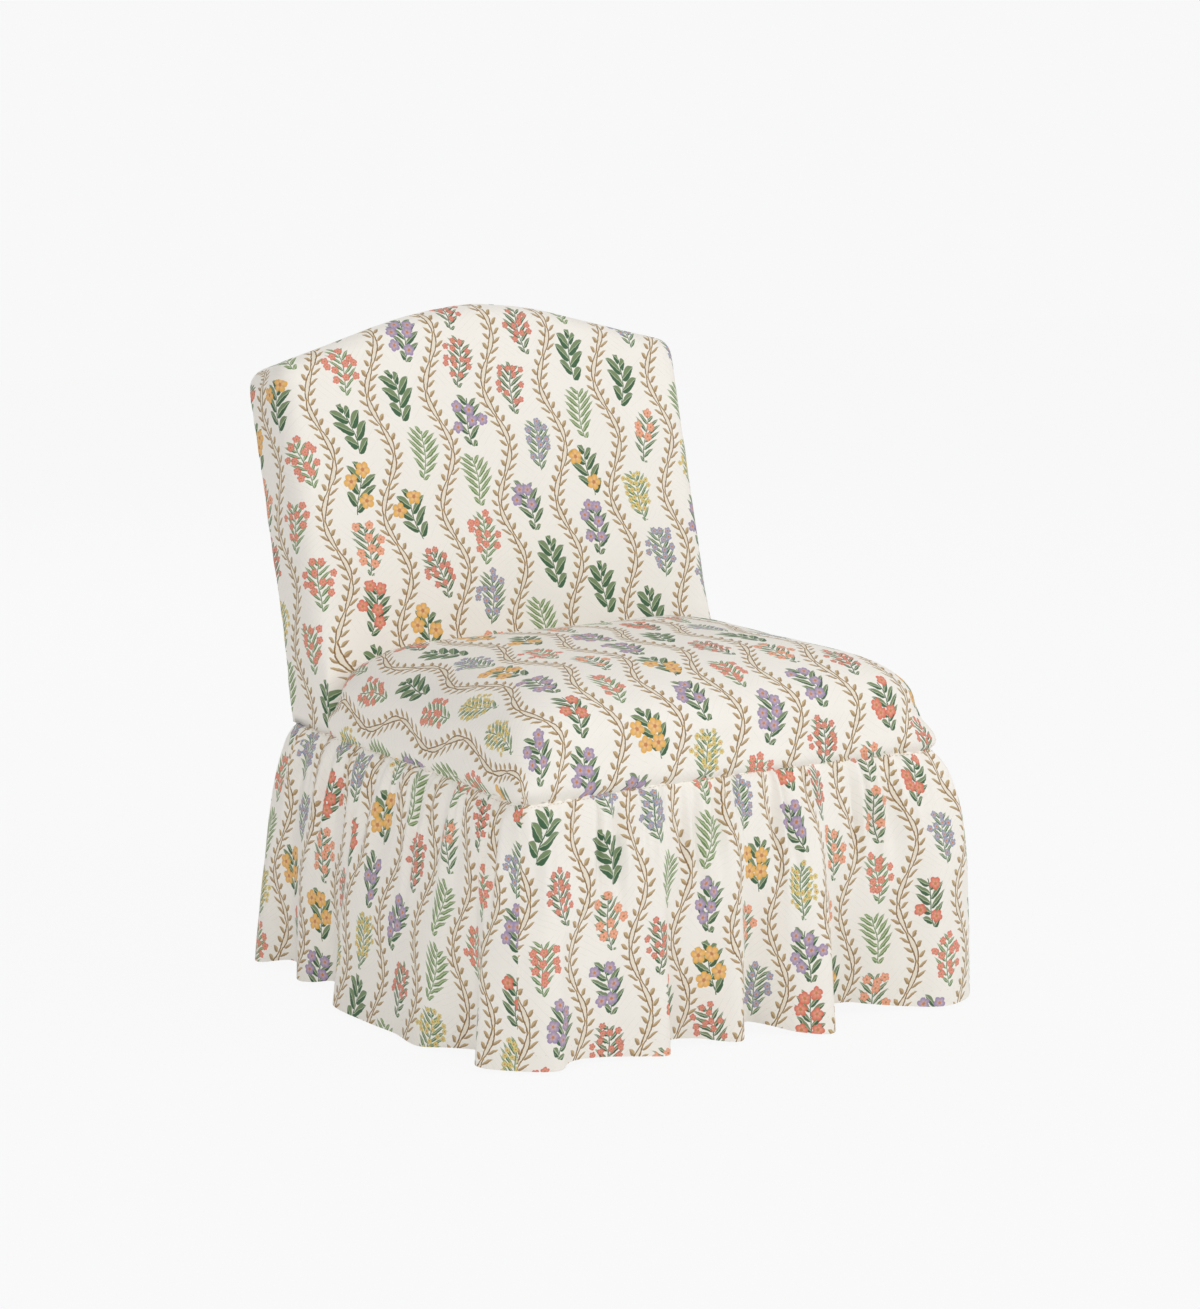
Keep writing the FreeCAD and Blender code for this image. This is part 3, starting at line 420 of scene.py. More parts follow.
g.feed(result["Color"], g.mix(bloom, g.mix(leaf, leaf_colour, leaf_paint), bloom_paint))
g.feed(result["Ink"], g.math("MAXIMUM", g.math("MAXIMUM", stem, leaf), bloom))
print("sprig group", len(sprig.nodes), "nodes")

# %% Print: ground, stems and weave together
THREAD_MM = 1.3
printed, g, given, result = new_group("printed_cloth", {"Cloth": VECTOR}, {"Color": COLOUR, "Height": NUMBER})
cells = g.group(layout, Cloth=given["Cloth"])
drawing = g.group(sprig, Place=cells["Place"], Cell=cells["Cell"])
edge, along, side, ink = (
    Wire(g, socket) for socket in (cells["Edge"], cells["Along"], cells["Side"], drawing["Ink"])
)

# the two stems part and meet again, with a small bead where they meet
beat = abs(g.math("SINE", along * (math.pi / (ROW / 2))))
half_gap = 1.2 + beat * 2.2
band = g.inside(half_gap - edge, 0.6)
line = g.inside(0.85 - abs(edge - half_gap), 0.5)
bead = g.inside(2.6 - edge, 0.6) * (1.0 - beat > 0.90)

# small leaves on both outer sides of the stems
outward = g.math("SIGN", side) * g.math("MAXIMUM", edge - 3.2, 0.0)
frond, frond_across = leaves(g, outward, along, 13.0, lambda root: 13.0, 2.5, math.radians(52))
frond = frond * (edge < 14.0) * (edge > 3.2)
frond_tone = g.mix(frond_across > 0.0, srgb(142, 106, 44), srgb(184, 152, 92))

inked = g.mix(g.noise(given["Cloth"], 9.0, 3.0), srgb(244, 240, 232), srgb(239, 234, 226))
for mask, colour in (
    (band * 0.45, srgb(222, 205, 172)), (frond * 0.85, frond_tone), (line * 0.96, srgb(132, 96, 38)),
    (bead * 0.7, srgb(190, 158, 104)), (ink * 0.94, drawing["Color"]),
):
    inked = g.mix(mask, inked, colour)

# the weave: two sets of threads, thick and thin. Its height also sets a faint change of tone, which is partly
# the threads' own unevenness and partly painted shade that darkens the hollows between them
millimetres = g.vector("SCALE", given["Cloth"], PER_METRE)
warp, weft = (
    abs(g.math("SINE", place * (2 * math.pi / THREAD_MM))) for place in g.split(millimetres)[:2]
)
weave = warp * 0.5 + weft * 0.5 + g.noise(millimetres, 0.35, 3.0)
# painted shade in the weave: the tone follows the bump's height, lighter on raised threads and darker where
# they dip
weave_tone_and_shade = g.add("ShaderNodeHueSaturation", {"Color": inked, "Value": 1.0 + (weave - 1.1) * 0.030})
g.feed(result["Color"], weave_tone_and_shade.outputs[0])
g.feed(result["Height"], weave)

printed_linen, g, out = new_material("printed_linen")
linen = g.group(printed, Cloth=g.add("ShaderNodeUVMap", uv_map="cloth").outputs[0])
finish_material(
    g, out, linen["Color"], 0.92, linen["Height"], 0.12, 0.0004,
    **{"Sheen Weight": 0.12, "Sheen Roughness": 0.6, "Specular IOR Level": 0.2},
)
print("printed cloth group", len(printed.nodes), "nodes")

# %% [markdown]
# ## Sizes that the soft pieces share
# The seat, back and skirt meet at one seam, 324 mm above the floor. These numbers are the same ones that the
# frame was drawn with, in millimetres, and each soft piece is worked out from them.

# %% Shared sizes and mesh helpers
MM = 0.001
SEAM_Z = 324.0
RAIL_X, RAIL_FRONT = 292.1, -317.1
RECLINE = math.radians(15.5)
BACK_Y = 139.0
CLOTH = 1.4


def grid_faces(rows, columns, start=0):
    """Quads between neighbouring rows of a grid of points."""
    faces = []
    for row in range(rows - 1):
        for column in range(columns - 1):
            corner = start + row * columns + column
            faces.append((corner, corner + 1, corner + columns + 1, corner + columns))
    return faces


def mesh_object(name, points, faces, flat_places, material):
    """An object from points in millimetres, with each point's place on the flat cloth as its UV map."""
    mesh = bpy.data.meshes.new(name)
    mesh.from_pydata((np.asarray(points) * MM).tolist(), [], faces)
    layer = mesh.uv_layers.new(name="cloth")
    places = np.asarray(flat_places) * MM
    corner_points = np.empty(len(mesh.loops), dtype=np.int32)
    mesh.loops.foreach_get("vertex_index", corner_points)
    layer.data.foreach_set("uv", places[corner_points].astype(np.float32).ravel())
    mesh.materials.append(material)
    mesh.shade_smooth()
    return new_object(name, mesh)


def close_up(piece, prepare):
    """Lets prepare change a piece's mesh, then closes what is open and turns every face outwards."""
    tools = bmesh.new()
    tools.from_mesh(piece.data)
    prepare(tools)
    edges = [edge for edge in tools.edges if edge.is_boundary]
    if edges:
        bmesh.ops.triangle_fill(tools, edges=edges, use_beauty=True)
    bmesh.ops.recalc_face_normals(tools, faces=tools.faces[:])
    tools.to_mesh(piece.data)
    tools.free()
    piece.data.shade_smooth()


def merge_doubles(tools):
    bmesh.ops.remove_doubles(tools, verts=tools.verts[:], dist=0.05 * MM)


def ripple(x, y, size, seed):
    """A smooth random value between about -1 and 1."""
    return noise.noise(Vector((x / size, y / size, seed)))


def bell(distance, width):
    """1 in the middle and less the further away, in the shape of a bell."""
    return math.exp(-(distance / width) ** 2)


print("seam mm", SEAM_Z, "recline", round(math.degrees(RECLINE), 1))

# %% [markdown]
# ## Skirt
# A skirt like this is a straight strip, longer than the seam, gathered onto it. Near the seam the extra
# cloth stands in many small gathers; they join into a few deep folds that swing out to the hem. Each fold
# here swings out and in and also sideways, so that its flanks turn in under the ridge, as real ones do.

# %% Skirt: the rings that seam and hem follow
SKIRT_SEAM = (303.0, -328.0, 247.0, 27.0, 16.0)
SKIRT_HEM = (332.0, -358.0, 296.0, 60.0, 50.0)


def ring(side, share, half, front, rear, front_radius, rear_radius):
    """A point and outward direction on a rounded rectangle, a share of the way along one side."""
    radii = (front_radius, front_radius, rear_radius, rear_radius)
    first, last = radii[side], radii[(side + 1) % 4]
    length, reach = (2 * half, (rear - front) / 2) if side % 2 == 0 else (rear - front, half)
    run = length - first - last
    entry = first * math.pi / 4
    along = share * (run + (first + last) * math.pi / 4)
    if along < entry:
        turn, radius, middle = -math.pi / 4 + along / first, first, first - length / 2
    elif along > entry + run:
        turn, radius, middle = (along - entry - run) / last, last, length / 2 - last
    else:
        turn, radius, middle = 0.0, 0.0, first - length / 2 + along - entry
    local = (middle + radius * math.sin(turn), -reach + radius * (1 - math.cos(turn)))
    outward = (math.sin(turn), -math.cos(turn))
    cosine, sine = ((1, 0), (0, 1), (-1, 0), (0, -1))[side]
    place = (cosine * local[0] - sine * local[1], sine * local[0] + cosine * local[1] + (front + rear) / 2)
    return place, (cosine * outward[0] - sine * outward[1], sine * outward[0] + cosine * outward[1])


print("corner of the seam ring", [round(c, 1) for c in ring(0, 0, *SKIRT_SEAM)[0]])

# %% [markdown]
# ### The hem
# The folds are set by the hem. For the two sides in view its line was measured in the picture and carried
# down to the floor, and the two hidden sides go on in the same rhythm with shallower folds. Each point of
# the hem belongs to the point of the seam that faces it, and a little smoothing along the line lets the
# cloth of a fold slant instead of bunching up.

# %% Skirt: hem line
# The hem on the floor, anticlockwise from the front left corner: each point is x, y and height, and the
# points take turns between ridges, which all but touch the floor, and valleys, which hang a little higher.
HEM = np.array([
    (-318, -342, 4), (-277, -367, 4), (-250, -354, 9), (-205, -353, 7), (-162, -369, 5), (-128, -378, 4),
    (-112, -350, 12), (-72, -348, 9), (-22, -374, 4), (2, -342, 16), (28, -346, 12), (60, -382, 5),
    (100, -398, 3), (124, -346, 17), (160, -332, 17), (196, -338, 11), (236, -353, 6), (282, -374, 4),
    (326, -362, 4), (354, -334, 5), (364, -296, 5), (342, -252, 10), (322, -212, 12), (330, -176, 7),
    (346, -128, 4), (336, -82, 10), (318, -46, 12), (322, -6, 9), (344, 44, 4), (332, 92, 10), (314, 128, 12),
    (322, 172, 7), (338, 220, 5), (326, 268, 6), (292, 294, 5), (246, 282, 10), (202, 276, 11), (160, 294, 5),
    (116, 300, 5), (78, 280, 11), (34, 276, 11), (-10, 295, 5), (-56, 298, 5), (-92, 280, 11),
    (-138, 277, 11), (-182, 296, 5), (-228, 298, 5), (-264, 284, 10), (-302, 294, 6), (-332, 298, 5),
    (-344, 266, 7), (-320, 232, 14), (-320, 204, 14), (-342, 166, 6), (-336, 136, 8), (-320, 108, 13),
    (-334, 66, 10), (-365, 26, 6), (-365, -58, 5), (-361, -122, 5), (-364, -182, 4), (-342, -228, 9),
    (-324, -262, 10), (-350, -300, 5),
], dtype=float)


def smooth_loop(controls, pieces=24):
    """A closed curve through the control points, with each place on it counted in control points."""
    before, here, there, after = (np.roll(controls, -step, axis=0)[:, None] for step in (-1, 0, 1, 2))
    t = (np.arange(pieces) / pieces)[:, None]
    curve = 0.5 * (
        2 * here + (there - before) * t + (2 * before - 5 * here + 4 * there - after) * t ** 2
        + (3 * here - before - 3 * there + after) * t ** 3
    )
    return curve.reshape(-1, 3), np.add.outer(np.arange(len(controls)), t[:, 0]).ravel()


ring_steps = np.arange(0, 4, 0.002)
hem_ring = np.array([ring(int(t), t % 1, *SKIRT_HEM)[0] for t in ring_steps])
nearest = np.array([ring_steps[np.argmin(np.linalg.norm(hem_ring - point[:2], axis=1))] for point in HEM])
nearest = np.unwrap(nearest, period=4)
nearest = np.maximum.accumulate(nearest + np.arange(len(nearest)) * 1e-4)
hem_curve, hem_shares = smooth_loop(HEM)
hem_turn = np.interp(hem_shares, np.arange(len(HEM) + 1), np.append(nearest, nearest[0] + 4))
closed_curve = np.vstack([hem_curve, hem_curve[:1]])
curve_run = np.concatenate([[0.0], np.cumsum(np.linalg.norm(np.diff(closed_curve, axis=0), axis=1))])
total = 1040
spots = np.linspace(0, curve_run[-1], total, endpoint=False)
hem_points = np.column_stack([np.interp(spots, curve_run, closed_curve[:, axis]) for axis in range(3)])
around_share = np.interp(spots, curve_run, np.append(hem_turn, hem_turn[0] + 4))
for _ in range(14):
    spread = np.concatenate([[around_share[-1] - 4], around_share, [around_share[0] + 4]])
    around_share = (spread[:-2] + spread[1:-1] * 2 + spread[2:]) / 4
around_share %= 4
print("hem length mm", round(float(curve_run[-1])), "valleys", sum(point[2] > 9 for point in HEM))

# %% Skirt: one point of the surface
def seam_level(x, y):
    """The seam dips a few millimetres at the two front corners, where the gathers pull most."""
    left = bell(math.hypot(x + SKIRT_SEAM[0], y - SKIRT_SEAM[1]), 130)
    right = bell(math.hypot(x - SKIRT_SEAM[0], y - SKIRT_SEAM[1]), 90)
    return SEAM_Z + 1.5 - 8.0 * left - 3.0 * right


def skirt_point(column, fall):
    """A point of the skirt: a column of the hem, and fall from 0 at the seam to 1 at the hem."""
    around = around_share[column]
    side, share = int(around) % 4, around % 1
    top, outward_top = ring(side, share, *SKIRT_SEAM)
    foot, outward_foot = ring(side, share, *SKIRT_HEM)
    # the skirt swings out soonest at the right front corner, and latest at the rear
    near_right = bell(math.hypot(foot[0] - SKIRT_HEM[0], foot[1] - SKIRT_HEM[1]), 180)
    hidden = 1 / (1 + math.exp(-(0.55 * foot[0] + 0.85 * foot[1] - 130) / 40))
    flare = 1 - (1 - fall) ** (2.6 + 2.4 * near_right - 0.8 * hidden)
    grow = 0.45 * fall + 0.55 * fall ** 0.9 * (0.35 + 0.65 * fall)
    outward = Vector([a + flare * (b - a) for a, b in zip(outward_top, outward_foot)]).normalized()
    # small gathers under the seam, wider ones below them, and a slight unevenness of the lower half
    small = math.exp(-((fall / 0.20) ** 1.5))
    out = 2.3 * small * math.sin(2 * math.pi * (30 * around + 1.6 * ripple(around * 100, 0, 6, 2.2)))
    wider = math.sin(2 * math.pi * (12 * around + 1.3 * ripple(around * 100, 0, 10, 6.4)))
    out += 4.2 * bell(fall - 0.22, 0.2) * wider
    out += 2.0 * bell(fall - 0.6, 0.3) * ripple(around * 300, fall * 120, 26, 4.4)
    # the gathers stand out just below the seam, which itself is pulled in
    puffed = 6.5 * math.sin(min(fall / 0.09, 1.0) * math.pi / 2) * (1 - fall) ** 2
    out += puffed - 5.0 * math.exp(-fall / 0.012)
    level_top = seam_level(*top)
    place = []
    for axis in (0, 1):
        straight = top[axis] + flare * (foot[axis] - top[axis])
        spread = grow + (flare - grow) * 0.7 * near_right
        place.append(straight + spread * (hem_points[column, axis] - foot[axis]) + outward[axis] * out)
    return place[0], place[1], level_top + fall * (hem_points[column, 2] - level_top)


print("first point mm", [round(c, 1) for c in skirt_point(0, 0.0)])

# %% Skirt: the whole surface
SKIRT_ROWS = 40
falls = [(row / (SKIRT_ROWS - 1)) ** 1.25 for row in range(SKIRT_ROWS)]
skirt_grid = np.array([[skirt_point(column, fall) for column in range(total)] for fall in falls])
hem_steps = np.linalg.norm(np.roll(skirt_grid[-1], -1, axis=0) - skirt_grid[-1], axis=1)
hem_run = np.concatenate([[0.0], np.cumsum(hem_steps)])
down_steps = np.linalg.norm(np.diff(skirt_grid, axis=0), axis=2)
drops = np.concatenate([np.zeros((1, total)), np.cumsum(down_steps, axis=0)])
corners = [int(np.argmin(np.abs((around_share - side + 2) % 4 - 2))) for side in range(4)]
print("corner columns", corners)

# %% Skirt: four panels from one surface
around_next = np.roll(skirt_grid, -1, axis=1) - np.roll(skirt_grid, 1, axis=1)
down_next = np.gradient(skirt_grid, axis=0)
skirt_normals = np.cross(down_next, around_next)
skirt_normals /= np.linalg.norm(skirt_normals, axis=2, keepdims=True)
SKIRT_NODES = ("front_skirt_panel", "right_skirt_panel", "rear_skirt_panel", "left_skirt_panel")
if np.mean(skirt_normals[SKIRT_ROWS // 2, corners[0] + 20:corners[0] + 200, 1]) > 0:
    skirt_normals = -skirt_normals


def skirt_panel(side):
    """One quarter of the skirt, with its inner face and its hem and seam edges closed."""
    first, last = corners[side], corners[(side + 1) % 4]
    columns = [(first + step) % total for step in range((last - first) % total + 1)]
    outer = skirt_grid[:, columns]
    normals = skirt_normals[:, columns]
    inner = outer - normals * CLOTH
    width, rows = len(columns), SKIRT_ROWS
    points = np.concatenate([outer.reshape(-1, 3), inner.reshape(-1, 3)])
    across = hem_run[first] + np.arange(width) * hem_run[-1] / total
    flat = np.stack([np.tile(across, (rows, 1)), -drops[:, columns]], axis=2).reshape(-1, 2)
    layer = rows * width
    faces = [tuple(reversed(face)) for face in grid_faces(rows, width)] + grid_faces(rows, width, layer)
    grid = np.arange(layer).reshape(rows, width)
    for edge_points, flip in ((grid[0], False), (grid[-1], True), (grid[:, 0], True), (grid[:, -1], False)):
        for a, b in zip(edge_points.tolist(), edge_points[1:].tolist()):
            quad = (a, b, b + layer, a + layer)
            faces.append(quad[::-1] if flip else quad)
    piece = mesh_object(
        SKIRT_NODES[side] + "_cloth", points, faces, np.concatenate([flat, flat]), printed_linen,
    )
    custom = np.concatenate([normals.reshape(-1, 3), -normals.reshape(-1, 3)])
    piece.data.normals_split_custom_set_from_vertices(custom.tolist())
    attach(piece, "root")
    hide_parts(SKIRT_NODES[side])
    return piece


skirt_panels = [skirt_panel(side) for side in range(4)]
print("skirt panels", [(p.name, len(p.data.polygons)) for p in skirt_panels])

# %% [markdown]
# ## Seat
# The seat is foam with a crown under wadding, pulled down over the rails. Its outline at each height is a
# rounded rectangle, and above the wall the outlines shrink along a superellipse, which rises fast at the edge
# and flattens on top. The cloth's own coordinates are found by unrolling it from the middle outwards.

# %% Seat: outlines at each height
SEAT_HALF = RAIL_X + 6.8
SEAT_FRONT = RAIL_FRONT - 6.8
SEAT_FRONT_REACH = 253.0
SEAT_MIDDLE = SEAT_FRONT + SEAT_FRONT_REACH
SEAT_REAR_REACH = 233.0
WALL_TOP = SEAM_Z + 41.0
CROWN = 92.0
FULLNESS = 2.7
SEAT_AROUND = 240


def seat_outline(half, front, rear, radius):
    """Points and outward directions round a rounded rectangle, evenly shared between its four sides."""
    places = (divmod(step * 4 / SEAT_AROUND, 1) for step in range(SEAT_AROUND))
    pairs = np.array([ring(int(side), share, half, front, rear, radius, radius) for side, share in places])
    return pairs[:, 0], pairs[:, 1]


def seat_rings():
    """Outlines from the lower edge of the cover to the middle of the crown, with their heights."""
    rings = []
    for level, inset, radius in (
        (306.0, 3.0, 20.0), (314.0, 0.5, 20.0), (321.0, -2.0, 19.0), (327.0, -6.0, 18.0), (333.0, -7.6, 19.0),
        (340.0, -7.2, 24.0), (348.0, -5.4, 34.0), (357.0, -2.6, 46.0),
    ):
        rear = SEAT_MIDDLE + SEAT_REAR_REACH - inset
        rings.append((SEAT_HALF - inset, SEAT_FRONT + inset, rear, radius, level))
    for turn in (3, 7, 12, 18, 25, 32, 39, 46, 53, 60, 66, 72, 77, 81, 84.5, 87, 88.7, 89.6):
        across = math.cos(math.radians(turn)) ** (2 / FULLNESS)
        up = math.sin(math.radians(turn)) ** (2 / FULLNESS)
        rings.append((
            SEAT_HALF * across,
            SEAT_MIDDLE - SEAT_FRONT_REACH * across, SEAT_MIDDLE + SEAT_REAR_REACH * across,
            58.0 * across + 30.0 * (1 - across) * across, WALL_TOP + CROWN * up,
        ))
    return rings


rows, directions = [], []
for half, front, rear, radius, level in seat_rings():
    outline, outward = seat_outline(half, front, rear, radius)
    rows.append(np.column_stack([outline, np.full(SEAT_AROUND, level)]))
    directions.append(outward)
seat_grid = np.array(rows)
seat_out = np.array(directions)
print("seat outlines", len(seat_grid), "crown mm", round(float(seat_grid[-1, 0, 2]), 1))

# %% Seat: pulls in the cloth above the seam, and soft unevenness of the padding
WALL_LIMIT = 395.0
for row in range(len(seat_grid)):
    for column in range(SEAT_AROUND):
        x, y, z = seat_grid[row, column]
        pull = 1.5 * ripple(column * 9.0, z * 0.6, 16, 7.7) * math.exp(-abs(z - 336) / 16)
        soft = 2.0 * ripple(x, y, 120, 1.3) + 0.9 * ripple(x, y + z, 55, 9.1)
        wall, crown = (1.0, 0.2) if z < WALL_LIMIT else (0.25, 1.0)
        seat_grid[row, column, :2] += seat_out[row, column] * (pull + soft * wall * 0.6)
        seat_grid[row, column, 2] += soft * crown
print("seat's highest point mm", round(float(seat_grid[:, :, 2].max()), 1))

# %% Seat: unrolled cloth and mesh
top_row = len(seat_grid) - 1
seat_flat = np.zeros((top_row + 1, SEAT_AROUND, 2))
seat_flat[top_row] = seat_grid[top_row, :, :2] - np.array([0.0, SEAT_MIDDLE])
for row in range(top_row - 1, -1, -1):
    step = seat_grid[row] - seat_grid[row + 1]
    length = np.linalg.norm(step, axis=1)
    plan = np.linalg.norm(step[:, :2], axis=1)
    level_share = np.clip(plan / np.maximum(length, 1e-6), 0, 1)[:, None]
    heading = step[:, :2] / np.maximum(plan, 1e-6)[:, None] * level_share + seat_out[row] * (1 - level_share)
    heading /= np.linalg.norm(heading, axis=1)[:, None]
    seat_flat[row] = seat_flat[row + 1] + heading * length[:, None]
crown_middle = [[0.0, SEAT_MIDDLE, float(seat_grid[top_row, :, 2].mean())]]
points = np.concatenate([seat_grid.reshape(-1, 3), crown_middle])
flat = np.concatenate([seat_flat.reshape(-1, 2), [[0.0, 0.0]]])
faces = []
for row in range(top_row):
    here, above = row * SEAT_AROUND, (row + 1) * SEAT_AROUND
    for column in range(SEAT_AROUND):
        following = (column + 1) % SEAT_AROUND
        faces.append((here + column, here + following, above + following, above + column))
faces += [
    (above + column, above + (column + 1) % SEAT_AROUND, len(points) - 1) for column in range(SEAT_AROUND)
]
seat = mesh_object("seat_cover_cloth", points, faces, flat, printed_linen)


def cut_at_back(tools):
    """Takes away what lies behind the front of the back."""
    bmesh.ops.bisect_plane(
        tools, geom=tools.verts[:] + tools.edges[:] + tools.faces[:], clear_outer=True,
        plane_co=Vector((0, (BACK_Y - 1.0) * MM, SEAM_Z * MM)),
        plane_no=Vector((0, math.cos(RECLINE), -math.sin(RECLINE))),
    )


close_up(seat, cut_at_back)
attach(seat, "root")
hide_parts("seat_cover", "seat_wadding", "seat_foam")
print("seat faces", len(seat.data.polygons), "top mm", round(max(v.co.z for v in seat.data.vertices) / MM, 1))

# %% [markdown]
# ## Back
# The back is a padded board in the same cloth, reclined by 15.5 degrees. One length of cloth covers its front
# and wraps over the crest and round both sides, and a flat panel closes the rear. The outline runs up one
# side, over the arched crest and down the other, and the profile runs from the rear edge, along the side,
# round the soft edge and in to the middle of the front.

# %% Back: outline and profile
BACK_HALF = 302.0
REAR_SEAM = 101.0
REAR_DEPTH = 101.8
BACK_TALL = 544.8
CREST_RADIUS = 474.0
CREST_SLOPE = math.radians(14.9)
SHOULDER = 30.0
EDGE = 28.0


def back_outline():
    """Half of the outline, from the foot of the side up to the crest: points and outward directions."""
    slope = (math.sin(CREST_SLOPE), math.cos(CREST_SLOPE))
    crest_z = BACK_TALL - CREST_RADIUS
    tangent = (CREST_RADIUS * slope[0], crest_z + CREST_RADIUS * slope[1])
    centre_x = BACK_HALF - SHOULDER
    centre_z = tangent[1] - (SHOULDER + slope[0] * (centre_x - tangent[0])) / slope[1]
    points = [((BACK_HALF, z), (1.0, 0.0)) for z in np.linspace(0, centre_z, 34)[:-1]]
    for turn in np.linspace(0, math.pi / 2 - CREST_SLOPE, 12):
        out = (math.cos(turn), math.sin(turn))
        points.append(((centre_x + SHOULDER * out[0], centre_z + SHOULDER * out[1]), out))
    start = points[-1][0]
    for share in np.linspace(0, 1, 13)[1:-1]:
        points.append((tuple(a + share * (b - a) for a, b in zip(start, tangent)), slope))
    for turn in np.linspace(CREST_SLOPE, 0, 12):
        out = (math.sin(turn), math.cos(turn))
        points.append(((CREST_RADIUS * out[0], crest_z + CREST_RADIUS * out[1]), out))
    return points


half_outline = back_outline()
left = [((-p[0], p[1]), (-n[0], n[1])) for p, n in half_outline]
outline = left + list(reversed(half_outline))[1:]
outline_points = np.array([p for p, _ in outline])
outline_normals = np.array([n for _, n in outline])
print("back outline points", len(outline), "shoulder height", round(half_outline[33][0][1], 1))

profile = [(inset, depth, depth - EDGE) for inset, depth in (
    (6.4, 100.2), (3.6, 99.0), (1.6, 96.4), (0.4, 92.0), (0, 82), (0, 66), (0, 48), (0, 34),
)]
for turn in np.linspace(0, math.pi / 2, 11):
    profile.append((EDGE * (1 - math.cos(turn)), EDGE * (1 - math.sin(turn)), -EDGE * turn))


def from_back(x, depth, rise):
    """A point of the reclined back in the chair's frame, all in millimetres."""
    return (
        x,
        BACK_Y + math.cos(RECLINE) * depth + math.sin(RECLINE) * rise,
        SEAM_Z - math.sin(RECLINE) * depth + math.cos(RECLINE) * rise,
    )


def foot_rise(depth, level=1.0):
    """How far up the back's slope a height just above the seam lies, at one depth."""
    return (level + math.sin(RECLINE) * depth) / math.cos(RECLINE)


SIDE_TOP = half_outline[33][0][1]


def lifted(rise, low):
    """Moves the foot of the outline up to the seam's level, less and less towards the shoulder."""
    return rise + low * max(1 - rise / SIDE_TOP, 0)


# %% Back: mesh of the inside cover
SPINE_TOP = 330.0
FACE_ROWS = 16
face_edge = outline_points - outline_normals * EDGE
crest_x, crest_rise = face_edge[outline_normals[:, 1] > 0].T


def smooth_step(value, start, run):
    """0 up to start, 1 from start + run on, and an even curve between them."""
    share = min(max((value - start) / run, 0), 1)
    return share * share * (3 - 2 * share)


def wrapped_row(inset, depth, arc):
    """Points on the side and the crest, with the puckers that the rear seam pulls into the cloth."""
    row = []
    for (px, pz), (nx, nz), (ex, ez) in zip(outline_points, outline_normals, face_edge):
        soft = 1.3 * ripple(px, pz + depth, 90, 2.6) + 0.8 * ripple(px, pz + depth * 2, 34, 6.6)
        soft += 1.1 * bell(depth - REAR_SEAM, 22) * ripple(px + pz, 0, 17, 5.9)
        # the soft front edge gets sharp where the seat presses against it
        x = px - nx * inset * (0.12 + 0.88 * smooth_step(pz, 40, 110)) + nx * soft
        rise = lifted(pz - nz * inset, foot_rise(depth)) + nz * soft
        wrap = arc + EDGE * math.pi / 2
        row.append((from_back(x, depth, rise), (ex + nx * wrap, (rise if nz == 0 else ez) + nz * wrap)))
    return row


def inner_place(px, pz, share):
    """From a point of the outline a share of the way in to the middle line, sinking a little on the way."""
    return px * (1 - share), pz - 0.4 * max(pz - SPINE_TOP, 0) * share


def face_row(share):
    """Points on the front, which is fullest in the middle and flat behind the seat."""
    row = []
    for px, pz in face_edge:
        x, rise = inner_place(px, pz, share)
        rise = max(rise, foot_rise(0) + (rise / BACK_TALL) * 4)
        below_crest = max(float(np.interp(x, crest_x, crest_rise)) - rise, 0.0)
        fullness = (1 - (x / crest_x[-1]) ** 4) * (1 - math.exp(-below_crest / 40))
        above_seat = min(max((rise - 95) / 120, 0), 1)
        puff = 7.0 * fullness * smooth_step(rise, 95, 120)
        soft = (1.6 * ripple(x, rise, 110, 4.8) + 0.7 * ripple(x, rise, 48, 3.3)) * above_seat
        row.append((from_back(x, -puff - soft, rise), (x, rise)))
    return row


def back_piece(name, rows):
    """A closed mesh from rows along the outline, each of pairs: a point and its place on the cloth."""
    points, places = (np.array([pair[part] for row in rows for pair in row]) for part in (0, 1))
    piece = mesh_object(name, points, grid_faces(len(rows), len(outline)), places, printed_linen)
    close_up(piece, merge_doubles)
    return piece


inner_shares = [step / FACE_ROWS for step in range(1, FACE_ROWS + 1)]
back_rows = [wrapped_row(*edge) for edge in profile] + [face_row(share) for share in inner_shares]
back = back_piece("inside_back_cloth", back_rows)
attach(back, "root")
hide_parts("inside_back_cover", "back_wadding", "back_foam")
print("back faces", len(back.data.polygons))

# %% Back: outside panel
RIM = 20.0
REAR_SHIFT = 40.0
REAR_EDGE = ((7.0, 98.8), (5.6, 99.8), (5.4, 100.6), (6.4, 101.1), (10.0, 101.5), (RIM, REAR_DEPTH))


def rear_row(inset, depth, share=0.0):
    """Points of the flat rear panel: round its turned-in edge, or a share of the way in from its rim."""
    row = []
    for (px, pz), (nx, nz) in zip(outline_points, outline_normals):
        rise = lifted(pz - nz * inset, foot_rise(depth, 0.5))
        x, rise = inner_place(px - nx * inset, rise, share)
        soft = 0.5 * share * ripple(x, rise, 100, 6.1)
        row.append((from_back(x, depth + soft, rise), (REAR_SHIFT - x, rise)))
    return row


rear_rows = [rear_row(*edge) for edge in REAR_EDGE]
rear_rows += [rear_row(RIM, REAR_DEPTH, share) for share in inner_shares]
rear = back_piece("outside_back_cloth", rear_rows)
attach(rear, "root")
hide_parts("outside_back_cover")
print("outside back faces", len(rear.data.polygons))

# %% [markdown]
# ## Under the cloth
# The pieces that the frame brought along keep their shapes and only get their surfaces: planed hardwood with
# its grain along each board, woven jute webbing, zinc plated bolts, black glides and grey card. Grain is a
# stretched noise with fine pores over it, so its direction has to follow the board.

